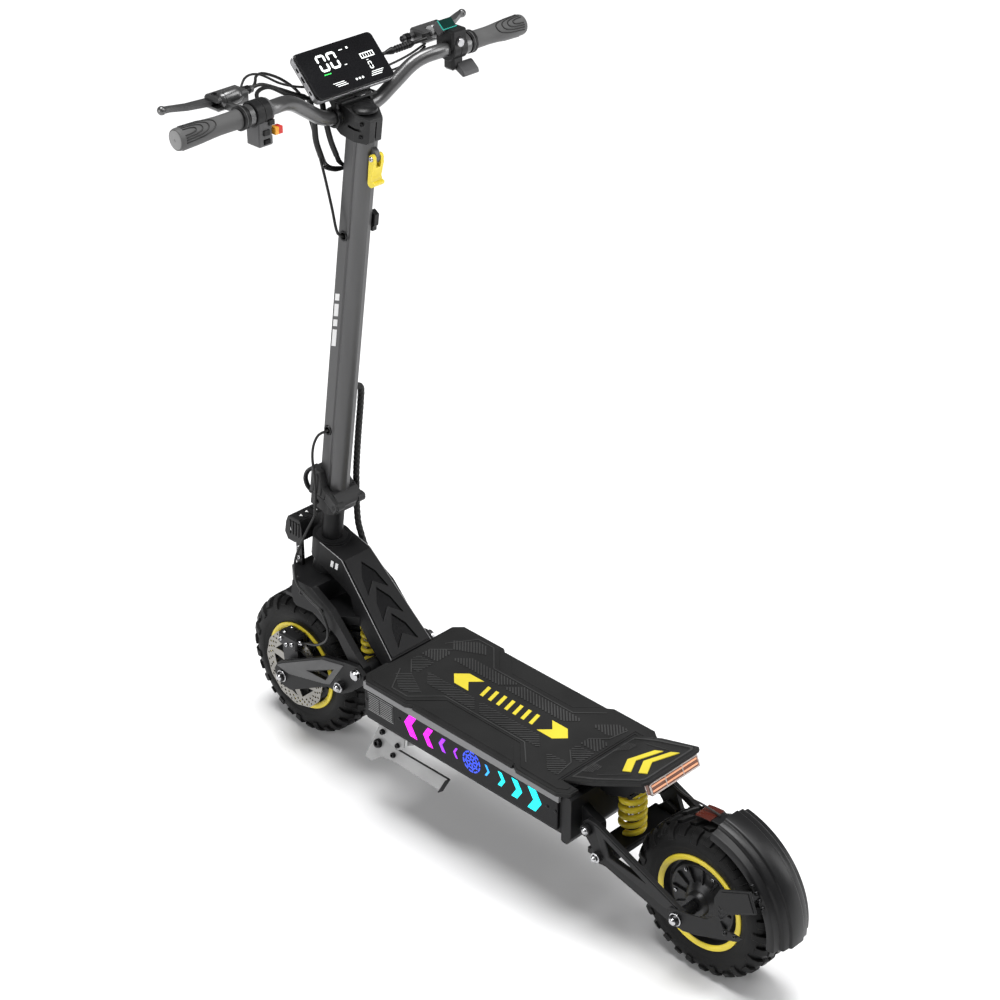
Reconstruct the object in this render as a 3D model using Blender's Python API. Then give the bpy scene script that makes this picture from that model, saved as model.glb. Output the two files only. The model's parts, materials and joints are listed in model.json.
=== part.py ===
"""Electric kick scooter with front and rear swing arms, a folding stem and a hub motor.

Every shape is drawn in the scooter's own plan: the front axle is at y = 0, the ground is z = 0, the rider faces -Y and
the left hand is at +X. The empty "scooter" then moves the whole plan so that its middle stands over the origin.
"""

from math import acos, cos, pi, radians, sin, sqrt, tan

import bmesh
import bpy
from mathutils import Matrix, Vector

# Driving dimensions, in metres
WHEELBASE = 0.882
TYRE_RADIUS = 0.1275
TYRE_SEGMENTS = 24
AXLE_RADIUS = 0.006
GAP = 0.0003
RAKE = radians(8.46)
AXIS_FOOT_Y = -0.0075
FENDER_RADIUS = 0.1555
DECK_FRONT = 0.235
DECK_REAR = 0.663
DECK_TOP = 0.251
TRAY_HALF_WIDTH = 0.100
BAR_RADIUS = 0.011
STEM_HALF_WIDTH = 0.018
STEM_FRONT = -0.022
STEM_LOBE = 0.006
STEERER_RADIUS = 0.0175
HINGE_HEIGHT = 0.482
HINGE_BEHIND = 0.032

FRONT_AXLE = Vector((0, 0, TYRE_RADIUS))
REAR_AXLE = Vector((0, WHEELBASE, TYRE_RADIUS))
FRONT_PIVOT = Vector((0, 0.190, 0.221))
REAR_PIVOT = Vector((0, 0.702, 0.191))
FRONT_SPRING_Y = 0.140
REAR_SPRING_Y = 0.717
BAR_CENTRE = Vector((0, 0.131, 1.141))
BAR_LOW_BEND = Vector((0.049, 0.131, 1.141))
BAR_HIGH_BEND = Vector((0.124, 0.1415, 1.1930))
BAR_OUTER_BEND = Vector((0.158, 0.1525, 1.1975))
GRIP_INNER = Vector((0.216, 0.1518, 1.1970))
GRIP_OUTER = Vector((0.331, 0.1505, 1.1960))
DISPLAY_CENTRE = Vector((0, 0.1225, 1.2095))
DISPLAY_TILT = radians(45)
KICKSTAND_PIVOT = Vector((0.092, 0.261, 0.130))
KICKSTAND_LEAN = radians(15)
MIDDLE_Y = (WHEELBASE + FENDER_RADIUS - TYRE_RADIUS) / 2

# The stem plan: x across, y behind the steering axis, z along it from the ground
STEM = Matrix.Translation((0, AXIS_FOOT_Y, 0)) @ Matrix.Rotation(-RAKE, 4, "X")
ALONG_X = Matrix.Rotation(pi / 2, 4, "Y")

COLOURS = {
    "black_paint": ((0.012, 0.012, 0.013), 0.35, 0.6),
    "satin_grey": ((0.075, 0.075, 0.078), 0.42, 0.8),
    "dark_alloy": ((0.035, 0.035, 0.037), 0.40, 0.8),
    "bright_rail": ((0.42, 0.43, 0.44), 0.35, 0.9),
    "rubber": ((0.018, 0.018, 0.018), 0.75, 0.0),
    "grip_rubber": ((0.13, 0.13, 0.13), 0.60, 0.0),
    "tyre": ((0.010, 0.010, 0.010), 0.70, 0.0),
    "black_plastic": ((0.015, 0.015, 0.016), 0.45, 0.0),
    "gloss_black": ((0.008, 0.008, 0.009), 0.12, 0.0),
    "yellow": ((0.86, 0.70, 0.05), 0.35, 0.0),
    "steel": ((0.55, 0.55, 0.54), 0.30, 1.0),
    "chrome": ((0.80, 0.80, 0.82), 0.12, 1.0),
    "amber_lens": ((0.90, 0.35, 0.12), 0.15, 0.0),
    "clear_lens": ((0.85, 0.87, 0.90), 0.08, 0.0),
    "grey_plastic": ((0.17, 0.17, 0.17), 0.50, 0.0),
    "red_plastic": ((0.75, 0.08, 0.04), 0.40, 0.0),
    "bearing_steel": ((0.60, 0.60, 0.62), 0.25, 1.0),
    "blue_wrap": ((0.05, 0.12, 0.35), 0.50, 0.0),
    "cable": ((0.010, 0.010, 0.010), 0.50, 0.0),
}


def material(name):
    """The Principled material of this name, made once."""
    found = bpy.data.materials.get(name)
    if found:
        return found
    colour, roughness, metallic = COLOURS[name]
    made = bpy.data.materials.new(name)
    made.use_nodes = True
    shader = made.node_tree.nodes["Principled BSDF"]
    shader.inputs["Base Color"].default_value = (*colour, 1)
    shader.inputs["Roughness"].default_value = roughness
    shader.inputs["Metallic"].default_value = metallic
    made.diffuse_color = (*colour, 1)
    return made


# ---------------------------------------------------------------- solids


def solid(bm, matrix=None):
    """A loose object holding the bmesh, moved by the matrix, with its faces pointing out."""
    if matrix is not None:
        bm.transform(matrix)
    bmesh.ops.recalc_face_normals(bm, faces=bm.faces)
    if bm.calc_volume(signed=True) < 0:
        bmesh.ops.reverse_faces(bm, faces=bm.faces)
    mesh = bpy.data.meshes.new("shape")
    bm.to_mesh(mesh)
    bm.free()
    made = bpy.data.objects.new("shape", mesh)
    bpy.context.scene.collection.objects.link(made)
    return made


def box(low, high, matrix=None):
    bm = bmesh.new()
    bmesh.ops.create_cube(bm, size=1)
    low, high = Vector(low), Vector(high)
    size = high - low
    bm.transform(Matrix.Translation((low + high) / 2) @ Matrix.Diagonal((*size, 1)))
    return solid(bm, matrix)


def chamfered_box(low, high, width, matrix=None):
    bm = bmesh.new()
    bmesh.ops.create_cube(bm, size=1)
    low, high = Vector(low), Vector(high)
    size = high - low
    bm.transform(Matrix.Translation((low + high) / 2) @ Matrix.Diagonal((*size, 1)))
    bmesh.ops.bevel(bm, geom=bm.edges[:], offset=width, segments=1, affect="EDGES")
    return solid(bm, matrix)


def prism(outline, low, high, matrix=None):
    """Extrude an outline of (y, z) points along X from low to high."""
    bm = bmesh.new()
    near = [bm.verts.new((low, y, z)) for y, z in outline]
    far = [bm.verts.new((high, y, z)) for y, z in outline]
    bm.faces.new(near)
    bm.faces.new(far[::-1])
    count = len(outline)
    for i in range(count):
        j = (i + 1) % count
        bm.faces.new((near[j], near[i], far[i], far[j]))
    return solid(bm, matrix)


def column(outline, low, high, matrix=None):
    """Extrude an outline of (x, y) points along Z from low to high."""
    upright = Matrix(((0, 1, 0, 0), (0, 0, 1, 0), (1, 0, 0, 0), (0, 0, 0, 1)))
    return prism(outline, low, high, upright if matrix is None else matrix @ upright)


def rod(start, end, radius, segments=16):
    """A round bar between two points."""
    start, end = Vector(start), Vector(end)
    axis = end - start
    bm = bmesh.new()
    bmesh.ops.create_cone(bm, cap_ends=True, segments=segments, radius1=radius, radius2=radius, depth=axis.length)
    turn = axis.to_track_quat("Z", "X" if abs(axis.y) > abs(axis.x) else "Y").to_matrix().to_4x4()
    return solid(bm, Matrix.Translation((start + end) / 2) @ turn)


def turned(profile, segments, matrix):
    """Turn a closed profile of (along, radius) points about X. Points of radius 0 lie on the axis."""
    bm = bmesh.new()
    rings = []
    for along, radius in profile:
        if radius == 0:
            rings.append([bm.verts.new((along, 0, 0))] * segments)
        else:
            angles = [2 * pi * i / segments - pi / 2 for i in range(segments)]
            rings.append([bm.verts.new((along, radius * cos(a), radius * sin(a))) for a in angles])
    for ring, after in zip(rings, rings[1:] + rings[:1]):
        for i in range(segments):
            j = (i + 1) % segments
            corners = list(dict.fromkeys((ring[i], ring[j], after[j], after[i])))
            if len(corners) > 2:
                bm.faces.new(corners)
    return solid(bm, matrix)


def mirrored(profile):
    """A turned profile's +X half, from the outside in, followed by its mirror image, from the inside out."""
    return profile + [(-along, radius) for along, radius in reversed(profile) if along != 0]


def tube_along(path, outer, inner, sides):
    """A hollow tube whose rings stand square to a smooth path."""
    bm = bmesh.new()
    walls = []
    for radius in (outer, inner):
        rings = []
        for i, point in enumerate(path):
            ahead = path[min(i + 1, len(path) - 1)] - path[max(i - 1, 0)]
            frame = ahead.to_track_quat("Z", "Y").to_matrix()
            spokes = [(cos(2 * pi * k / sides), sin(2 * pi * k / sides)) for k in range(sides)]
            rings.append([bm.verts.new(point + frame @ Vector((radius * a, radius * b, 0))) for a, b in spokes])
        walls.append(rings)
    for rings in walls:
        for ring, after in zip(rings, rings[1:]):
            for k in range(sides):
                m = (k + 1) % sides
                bm.faces.new((ring[k], ring[m], after[m], after[k]))
    for end in (0, -1):
        for k in range(sides):
            m = (k + 1) % sides
            bm.faces.new((walls[0][end][k], walls[0][end][m], walls[1][end][m], walls[1][end][k]))
    return solid(bm)


def arc_sweep(section, start, end, steps, centre):
    """Sweep a closed section of (x, radius) points about the X axis through centre, from start to end degrees."""
    bm = bmesh.new()
    rings = []
    for i in range(steps + 1):
        angle = radians(start + (end - start) * i / steps)
        ring = [bm.verts.new((x, radius * cos(angle), radius * sin(angle))) for x, radius in section]
        rings.append(ring)
    count = len(section)
    for ring, after in zip(rings, rings[1:]):
        for k in range(count):
            m = (k + 1) % count
            bm.faces.new((ring[k], ring[m], after[m], after[k]))
    bm.faces.new(rings[0])
    bm.faces.new(rings[-1][::-1])
    return solid(bm, Matrix.Translation(centre))


def rounded(points, radius, steps=3):
    """Round each corner of an outline. A point may give its own radius as its third number."""
    made = []
    count = len(points)
    for i, point in enumerate(points):
        corner = Vector(point[:2])
        size = point[2] if len(point) > 2 else radius
        back = Vector(points[i - 1][:2]) - corner
        ahead = Vector(points[(i + 1) % count][:2]) - corner
        half = back.angle(ahead) / 2
        reach = min(size / tan(half), back.length * 0.49, ahead.length * 0.49)
        if size == 0:
            made.append(tuple(corner))
            continue
        first = corner + back.normalized() * reach
        last = corner + ahead.normalized() * reach
        for k in range(steps + 1):
            t = k / steps
            curve = first * (1 - t) ** 2 + corner * 2 * t * (1 - t) + last * t**2
            made.append(tuple(curve))
    return made


def smooth_path(points, spacing):
    """Points at an even spacing on a Catmull-Rom curve through the given points."""
    points = [Vector(p) for p in points]
    padded = [2 * points[0] - points[1], *points, 2 * points[-1] - points[-2]]
    fine = []
    for a, b, c, d in zip(padded, padded[1:], padded[2:], padded[3:]):
        for k in range(24):
            t = k / 24
            pull = 2 * b + (c - a) * t + (2 * a - 5 * b + 4 * c - d) * t**2 + (3 * b - a - 3 * c + d) * t**3
            fine.append(pull / 2)
    fine.append(points[-1])
    total = sum((q - p).length for p, q in zip(fine, fine[1:]))
    count = max(2, round(total / spacing))
    made = [fine[0]]
    travelled = 0
    for p, q in zip(fine, fine[1:]):
        travelled += (q - p).length
        if travelled >= total * len(made) / count and len(made) < count:
            made.append(q)
    made.append(fine[-1])
    return made


def cable(points, radius, spacing, resolution=1):
    """A held cable: a POLY curve with a round bevel and filled ends."""
    curve = bpy.data.curves.new("cable", "CURVE")
    curve.dimensions = "3D"
    curve.bevel_depth = radius
    curve.bevel_resolution = resolution
    curve.use_fill_caps = True
    curve.resolution_u = 1
    curve.render_resolution_u = 0
    route = smooth_path(points, spacing)
    spline = curve.splines.new("POLY")
    spline.points.add(len(route) - 1)
    for point, place in zip(spline.points, route):
        point.co = (*place, 1)
    made = bpy.data.objects.new("cable", curve)
    bpy.context.scene.collection.objects.link(made)
    return made


def combine(base, tools, operation):
    """Cut the tools out of a solid, or join them to it, and keep only the result."""
    for tool in tools:
        step = base.modifiers.new("step", "BOOLEAN")
        step.operation = operation
        step.solver = "EXACT"
        step.object = tool
    bpy.context.view_layer.update()
    evaluated = base.evaluated_get(bpy.context.evaluated_depsgraph_get())
    result = bpy.data.meshes.new_from_object(evaluated)
    base.modifiers.clear()
    base.data = result
    for tool in tools:
        bpy.data.objects.remove(tool)
    return base


def cut(base, *tools):
    return combine(base, tools, "DIFFERENCE")


def join(base, *tools):
    return combine(base, tools, "UNION")


# ---------------------------------------------------------------- bodies

PIVOTS = {}


def body(name, pivot, parent=None):
    """An empty at a joint's axis. Every piece of the body, and the next body's empty, hangs on it."""
    empty = bpy.data.objects.new(name, None)
    bpy.context.scene.collection.objects.link(empty)
    empty.empty_display_size = 0.03
    PIVOTS[empty] = Vector(pivot)
    empty.parent = parent
    empty.location = Vector(pivot) - (PIVOTS[parent] if parent else Vector())
    return empty


def add(name, shape, on, look):
    """Name a finished solid, give it its material and hang it on its body without moving it."""
    shape.name = name
    shape.data.name = name
    shape.data.materials.clear()
    shape.data.materials.append(material(look))
    shape.parent = on
    shape.matrix_parent_inverse = Matrix.Translation(-PIVOTS[on])
    if shape.type == "MESH":
        shape.data.shade_smooth()
        shape.data.set_sharp_from_angle(angle=radians(35))
    return shape


def on_axis(height):
    """The point of the steering axis at a height along it."""
    return STEM @ Vector((0, 0, height))


def stem_point(x, behind, height):
    return STEM @ Vector((x, behind, height))


# ---------------------------------------------------------------- wheels

RIM_FLANGE = [(0.0350, 0.0735), (0.0350, 0.0778), (0.0340, 0.0778), (0.0288, 0.0722)]
TYRE_OUTSIDE = [
    (0.0200, 0.0725),
    (0.0285, 0.0725),
    (0.0355, 0.0795),
    (0.0400, 0.0970),
    (0.0380, 0.1120),
    (0.0290, 0.1235),
    (0.0120, TYRE_RADIUS),
]
TYRE_INSIDE = [(0.0200, 0.0765), (0.0330, 0.0980), (0.0240, 0.1180)]
HUB_BORE = AXLE_RADIUS + 0.0008


def tyre(name, on, axle):
    inside = [(-x, r) for x, r in mirrored(TYRE_INSIDE)]
    add(name, turned(mirrored(TYRE_OUTSIDE) + inside, TYRE_SEGMENTS, Matrix.Translation(axle)), on, "tyre")


def front_rim(on):
    web = [(0.0050, 0.0620), (0.0050, 0.0240), (0.0300, 0.0220)]
    left = [(0.0480, HUB_BORE), (0.0480, 0.0200), *web[::-1], *RIM_FLANGE]
    right = [(-x, r) for x, r in reversed([(0.0450, HUB_BORE), (0.0450, 0.0200), *web[::-1], *RIM_FLANGE])]
    add("front_rim", turned(left + right, TYRE_SEGMENTS, Matrix.Translation(FRONT_AXLE)), on, "dark_alloy")


def front_rotor(on):
    disc = turned(
        [(0.0500, 0.0185), (0.0520, 0.0185), (0.0520, 0.0700), (0.0500, 0.0700)],
        TYRE_SEGMENTS,
        Matrix.Translation(FRONT_AXLE),
    )
    windows = []
    for k in range(5):
        angle = 2 * pi * k / 5
        centre = FRONT_AXLE + Vector((0, 0.0380 * cos(angle), 0.0380 * sin(angle)))
        windows.append(rod(centre + Vector((0.045, 0, 0)), centre + Vector((0.057, 0, 0)), 0.0125, 10))
    add("front_rotor", cut(disc, *windows), on, "steel")


def rear_hub_motor(on):
    drum = [(0.0460, HUB_BORE), (0.0460, 0.0180), (0.0360, 0.0240), (0.0340, 0.0580), (0.0250, 0.0640)]
    profile = mirrored([*drum, *RIM_FLANGE])
    add("rear_hub_motor", turned(profile, TYRE_SEGMENTS, Matrix.Translation(REAR_AXLE)), on, "dark_alloy")


def axle(name, on, place, plates, spacer_from, spacer_to, hub_end):
    """An axle with a washer, a dome nut at each end and a spacer between each hub face and swing arm plate."""
    ends = []
    for plate_outside, hub_face in zip(plates, (spacer_from, hub_end)):
        nut = plate_outside + GAP
        ends.append(
            [
                (nut + 0.0085, 0),
                (nut + 0.0085, 0.0050),
                (nut + 0.0065, 0.0085),
                (nut + 0.0010, 0.0095),
                (nut, 0.0110),
                (nut, AXLE_RADIUS),
                (spacer_to, AXLE_RADIUS),
                (spacer_to, 0.0100),
                (hub_face, 0.0100),
                (hub_face, AXLE_RADIUS),
            ]
        )
    profile = ends[0] + [(-x, r) for x, r in reversed(ends[1])]
    add(name, turned(profile, 12, Matrix.Translation(place)), on, "chrome")


# ---------------------------------------------------------------- deck and frame


def deck_outline(inset):
    """The mat's plan: wide at both ends, narrow between its steps, notched for the neck and the kick plate."""
    wide, narrow = 0.110 - inset, 0.103 - inset
    side = [
        (0.0505 + inset, DECK_FRONT + 0.0005 + inset),
        (0.0505 + inset, DECK_FRONT - 0.004 + inset),
        (0.0950, DECK_FRONT - 0.004 + inset),
        (wide, 0.246),
        (wide, 0.336),
        (narrow, 0.346),
        (narrow, 0.568),
        (wide, 0.578),
        (wide, 0.661),
        (0.0970, 0.679 - inset),
        (0.0800 + inset, 0.679 - inset),
        (0.0800 + inset, 0.6470 - inset),
    ]
    return side + [(-x, y) for x, y in reversed(side)]


def deck(on):
    outside = box((-TRAY_HALF_WIDTH, DECK_FRONT, 0.170), (TRAY_HALF_WIDTH, DECK_REAR, 0.2380))
    hollow = box((-0.097, DECK_FRONT + 0.003, 0.173), (0.097, DECK_REAR + 0.01, 0.245))
    add("deck_tray", cut(outside, hollow), on, "black_paint")

    plate = box((-0.1065, DECK_FRONT + 0.0005, 0.2385), (0.1065, DECK_REAR, 0.2430))
    rails = [box((s * 0.1003, DECK_FRONT + 0.0005, 0.2295), (s * 0.1065, DECK_REAR, 0.2400)) for s in (1, -1)]
    add("deck_plate", join(plate, *rails), on, "bright_rail")

    lower = column(deck_outline(0), 0.2433, DECK_TOP - 0.0015)
    upper = column(deck_outline(0.002), DECK_TOP - 0.0017, DECK_TOP)
    add("deck_mat", join(lower, upper), on, "rubber")

    add("battery_pack", chamfered_box((-0.090, 0.300, 0.1735), (0.090, 0.640, 0.2340), 0.003), on, "blue_wrap")
    add("motor_controller", chamfered_box((-0.060, 0.243, 0.1735), (0.060, 0.293, 0.2150), 0.002), on, "steel")

    for side, sign in (("left", 1), ("right", -1)):
        low, high = sorted((sign * 0.1003, sign * 0.1050))
        panel = chamfered_box((low, DECK_FRONT + 0.002, 0.1775), (high, DECK_REAR - 0.003, 0.2292), 0.001)
        add(f"side_light_{side}", panel, on, "gloss_black")


def tail(on):
    """Kick plate rising behind the deck, and the lamp strip under its rear edge."""
    slope = 0.416
    rise = Matrix.Translation((0, 0.6480, DECK_TOP + 0.0008)) @ Matrix.Rotation(acos(1 / sqrt(1 + slope**2)), 4, "X")
    side = [(0.0790, 0.0), (0.0790, 0.0600), (0.0640, 0.1500), (0.0560, 0.1560)]
    outline = side + [(-x, y) for x, y in reversed(side)]
    add("tail_plate", column(outline, -0.0065, 0.0, rise), on, "rubber")
    lamp = chamfered_box((-0.052, 0.1400, -0.0260), (0.052, 0.1530, -0.0069), 0.0015, rise)
    add("tail_light", lamp, on, "amber_lens")


def rear_end_cap(on):
    back = prism(
        rounded([(0.6634, 0.2425), (0.6634, 0.1560), (0.6760, 0.1560), (0.6830, 0.1700), (0.6830, 0.2425)], 0.003, 1),
        -0.1000,
        0.1000,
    )
    gusset = [
        (0.675, 0.2300),
        (0.675, 0.2500),
        (0.690, 0.2570),
        (0.780, 0.2940),
        (0.784, 0.2860),
        (0.768, 0.2660),
        (0.748, 0.2560),
        (0.733, 0.2400),
        (0.700, 0.2270),
    ]
    gussets = [prism(gusset, s * 0.0300, s * 0.0360) for s in (1, -1)]
    seat = box((-0.0330, 0.6800, 0.2375), (0.0330, 0.7400, 0.2445))
    lugs = []
    for s in (1, -1):
        ear = rounded([(0.676, 0.176), (0.676, 0.224), (0.700, 0.212), (0.720, 0.206), (0.720, 0.186), (0.702, 0.180)], 0.006, 2)
        lugs.append(prism(ear, s * 0.0620, s * 0.0755))
    pins = []
    for s in (1, -1):
        y, z = REAR_PIVOT.y, REAR_PIVOT.z
        pins.append(rod((s * 0.0700, y, z), (s * 0.0855, y, z), AXLE_RADIUS, 12))
        pins.append(rod((s * 0.0845, y, z), (s * 0.0910, y, z), 0.0095, 12))
    add("rear_end_cap", join(back, *gussets, seat, *lugs, *pins), on, "black_paint")


def neck_taper(inset):
    """The neck's plan: narrow at the head tube, widening down its sloping face."""
    side = [(0.0310 - inset, 0.0200), (0.0310 - inset, 0.1075), (0.0440 - inset, 0.2345), (0.0440 - inset, 0.2500)]
    return column(side + [(-x, y) for x, y in reversed(side)], 0.150, 0.450)


def neck(on):
    profile = [
        (0.0553, 0.3916),
        (0.1075, 0.3790),
        (0.2345, 0.2520),
        (0.2345, 0.1850),
        (0.2262, 0.1850),
        (0.2262, 0.2420),
        (0.2135, 0.2520),
        (0.1280, 0.3220),
        (0.0500, 0.3520),
    ]
    shell = combine(prism(profile, -0.060, 0.060), [neck_taper(0)], "INTERSECT")
    hollow = [
        (0.0600, 0.3864),
        (0.1060, 0.3748),
        (0.2305, 0.2503),
        (0.2305, 0.2460),
        (0.2160, 0.2560),
        (0.1300, 0.3262),
        (0.0600, 0.3530),
    ]
    inside = combine(prism(hollow, -0.060, 0.060), [neck_taper(0.004)], "INTERSECT")
    outlet = box((-0.030, 0.2240, 0.1950), (0.030, 0.2400, 0.2300))
    cable_door = rod((-0.0200, 0.0860, 0.3590), (-0.0450, 0.0860, 0.3590), 0.0080, 12)
    vent = box((-0.0200, 0.1500, 0.2700), (0.0200, 0.1700, 0.3080))
    head_tube = turned(
        [(0.3590, 0), (0.3590, 0.0315), (0.3985, 0.0315), (0.3985, 0)],
        28,
        STEM @ Matrix.Rotation(-pi / 2, 4, "Y"),
    )
    bore = rod(on_axis(0.340), on_axis(0.420), 0.0258, 28)
    made = cut(shell, inside, outlet, cable_door, vent)
    add("neck_frame", cut(join(made, head_tube), bore), on, "black_paint")

    lean = Vector((0, 1, -1)).normalized()
    normal = Vector((0, 1, 1)).normalized()
    across = Vector((1, 0, 0))
    start = Vector((0, 0.1075, 0.3790)) + normal * GAP
    panel = Matrix.Translation(start) @ Matrix((across, lean, normal)).transposed().to_4x4()
    plan = [(0.0280, 0.0020), (0.0415, 0.1770), (-0.0415, 0.1770), (-0.0280, 0.0020)]
    plate = column(plan, 0, 0.0032, panel)
    chevrons = []
    for tip in (0.016, 0.064, 0.113):
        half = [(0.0, tip), (0.0150, tip + 0.024), (0.0220, tip + 0.055), (0.0, tip + 0.036)]
        chevrons.append(column(half + [(-0.0220, tip + 0.055), (-0.0150, tip + 0.024)], -0.002, 0.006, panel))
    add("neck_cover", cut(plate, *chevrons), on, "black_plastic")

    for name, low in (("head_bearing_lower", 0.3600), ("head_bearing_upper", 0.3875)):
        ring = [(low, 0.0178), (low, 0.0255), (low + 0.010, 0.0255), (low + 0.010, 0.0178)]
        add(name, turned(ring, 28, STEM @ Matrix.Rotation(-pi / 2, 4, "Y")), on, "bearing_steel")


def kickstand(on_frame, on_leg):
    """Stand folded back under the deck's left edge. Its pin leans, so that the leg swings down and outwards."""
    x, y, z = KICKSTAND_PIVOT
    lean = Matrix.Translation(KICKSTAND_PIVOT) @ Matrix.Rotation(-KICKSTAND_LEAN, 4, "Y")
    outline = [(-0.015, 0.0400), (0.031, 0.0400), (0.027, 0.0200), (0.013, -0.0120), (-0.011, -0.0120), (-0.015, 0.0100)]
    plate = prism(rounded(outline, 0.005, 1), -0.0080, -0.0030, lean)
    foot_plate = box((x - 0.0320, y - 0.0150, 0.1650), (x - 0.0080, y + 0.0310, 0.1697))
    pin = rod((-0.0050, 0, 0), (0.0080, 0, 0), 0.0040, 12)
    head = rod((0.0053, 0, 0), (0.0085, 0, 0), 0.0075, 12)
    for shape in (pin, head):
        shape.data.transform(lean)
    add("kickstand_bracket", join(plate, foot_plate, pin, head), on_frame, "satin_grey")

    bar = rounded([(-0.011, -0.010), (0.011, -0.011), (0.143, -0.0090), (0.143, 0.0030), (0.011, 0.010), (-0.011, 0.010)],
                  0.006, 1)
    leg = prism(bar, -0.0025, 0.0048, lean)
    shoe = chamfered_box((-0.0025, 0.1350, -0.0130), (0.0260, 0.1590, -0.0010), 0.003, lean)
    hole = rod((-0.0100, 0, 0), (0.0120, 0, 0), 0.0045, 12)
    hole.data.transform(lean)
    add("kickstand_leg", cut(join(leg, shoe), hole), on_leg, "satin_grey")


# ---------------------------------------------------------------- fork


def front_fork(on):
    side_plate = rounded(
        [
            (0.030, 0.2790),
            (0.0245, 0.3000),
            (0.0290, 0.3300),
            (0.075, 0.3300),
            (0.120, 0.306),
            (0.140, 0.286),
            (0.176, 0.248),
            (0.204, 0.226, 0.012),
            (0.196, 0.207, 0.012),
            (0.176, 0.209),
            (0.135, 0.262),
            (0.090, 0.285),
        ],
        0.006,
        1,
    )
    plates = [prism(side_plate, s * 0.0580, s * 0.0700) for s in (1, -1)]
    crown_plan = [(0.0600, 0.0780), (0.0600, 0.0200), (0.0440, -0.0020), (-0.0440, -0.0020), (-0.0600, 0.0200), (-0.0600, 0.0780)]
    crown = column(crown_plan, 0.2900, 0.3300)
    seat = [(-0.0300, 0.060), (-0.0620, 0.060), (-0.0620, 0.118), (-0.0300, 0.160)]
    spring_seat = column(seat + [(-x, y) for x, y in reversed(seat)], 0.2780, 0.2920)
    steerer = turned(
        [(0.327, 0), (0.327, 0.0290), (0.3575, 0.0240), (0.3575, STEERER_RADIUS), (0.4770, STEERER_RADIUS), (0.4770, 0)],
        28,
        STEM @ Matrix.Rotation(-pi / 2, 4, "Y"),
    )
    bolt_hole = rod((-0.080, *FRONT_PIVOT.yz), (0.080, *FRONT_PIVOT.yz), AXLE_RADIUS + 0.0004, 14)
    add("front_fork", cut(join(crown, *plates, spring_seat, steerer), bolt_hole), on, "black_paint")

    bolt = turned(
        mirrored([(0.0885, 0), (0.0885, 0.0060), (0.0865, 0.0090), (0.0798, 0.0095), (0.0798, AXLE_RADIUS)]),
        14,
        Matrix.Translation(FRONT_PIVOT),
    )
    add("front_pivot_bolt", bolt, on, "chrome")

    crest, low, hem = 0.1515, 0.1475, 0.1400
    outside = [(0.0460, hem), (0.0460, low), (0.0300, crest), (-0.0300, crest), (-0.0460, low), (-0.0460, hem)]
    inside = [(-x * 0.96, r - 0.0020 if r != hem else r) for x, r in outside]
    fender = arc_sweep(outside + inside, 52, 98, 6, FRONT_AXLE)
    stay = box((-0.0250, 0.0000, 0.2720), (0.0250, 0.0300, 0.2897))
    add("front_fender", join(fender, stay), on, "black_plastic")


def headlight(on):
    outline = [
        (-0.0220, 0.3668),
        (-0.0287, 0.3792),
        (-0.0248, 0.3999),
        (-0.0190, 0.4119),
        (0.0100, 0.4119),
        (0.0130, 0.3990),
        (0.0130, 0.3760),
        (-0.0045, 0.3668),
    ]
    casing = prism(outline, -0.0330, 0.0330)
    recess = box((-0.0280, -0.0400, 0.3770), (0.0280, -0.0220, 0.3970))
    arms = [box((x, -0.0020, 0.3303), (x + 0.0060, 0.0115, 0.3750)) for x in (-0.0330, 0.0270)]
    add("headlight_housing", join(cut(casing, recess), *arms), on, "black_plastic")
    lens = chamfered_box((-0.0275, -0.0270, 0.3775), (0.0275, -0.0223, 0.3965), 0.001)
    add("headlight_lens", lens, on, "clear_lens")


COLLAR_PLAN = [(0.0300, -0.0280), (0.0300, 0.0180), (0.0220, 0.0260), (-0.0220, 0.0260), (-0.0300, 0.0180), (-0.0300, -0.0280)]
KNUCKLE_RADIUS = 0.0085
KNUCKLE_ROOM = 0.0092
PIN_RADIUS = 0.0035


def hinge_rod(low, high, radius, segments=16):
    return rod(stem_point(low, HINGE_BEHIND, HINGE_HEIGHT), stem_point(high, HINGE_BEHIND, HINGE_HEIGHT), radius, segments)


def fold_collar(on_fork, on_stem):
    """Two clamp blocks that meet at the hinge line. The lower one holds the pin."""
    plan = rounded(COLLAR_PLAN, 0.004, 1)
    lower = column(plan, 0.4600, HINGE_HEIGHT - GAP, STEM)
    lower = cut(lower, hinge_rod(-0.0155, 0.0155, KNUCKLE_ROOM), rod(on_axis(0.450), on_axis(0.4775), 0.0179, 28))
    knuckles = [hinge_rod(s * 0.0155, s * 0.0290, KNUCKLE_RADIUS) for s in (1, -1)]
    lower = join(lower, *knuckles, hinge_rod(-0.0320, 0.0320, PIN_RADIUS, 12))
    add("fold_collar_lower", lower, on_fork, "satin_grey")

    upper = column(plan, HINGE_HEIGHT + GAP, 0.5300, STEM)
    rooms = [hinge_rod(s * 0.0150, s * 0.0350, KNUCKLE_ROOM) for s in (1, -1)]
    upper = join(cut(upper, *rooms), hinge_rod(-0.0150, 0.0150, KNUCKLE_RADIUS))
    socket = column(stem_outline(0.0005), 0.4890, 0.5400, STEM)
    upper = cut(upper, socket, hinge_rod(-0.0200, 0.0200, PIN_RADIUS + 0.0007, 12))
    clevis = [box((s * 0.0060, -0.0400, 0.5000), (s * 0.0120, -0.0270, 0.5240), STEM) for s in (1, -1)]
    latch_pin = rod(stem_point(-0.0150, -0.0360, 0.5120), stem_point(0.0150, -0.0360, 0.5120), 0.0025, 10)
    add("fold_collar_upper", join(upper, *clevis, latch_pin), on_stem, "satin_grey")


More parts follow.
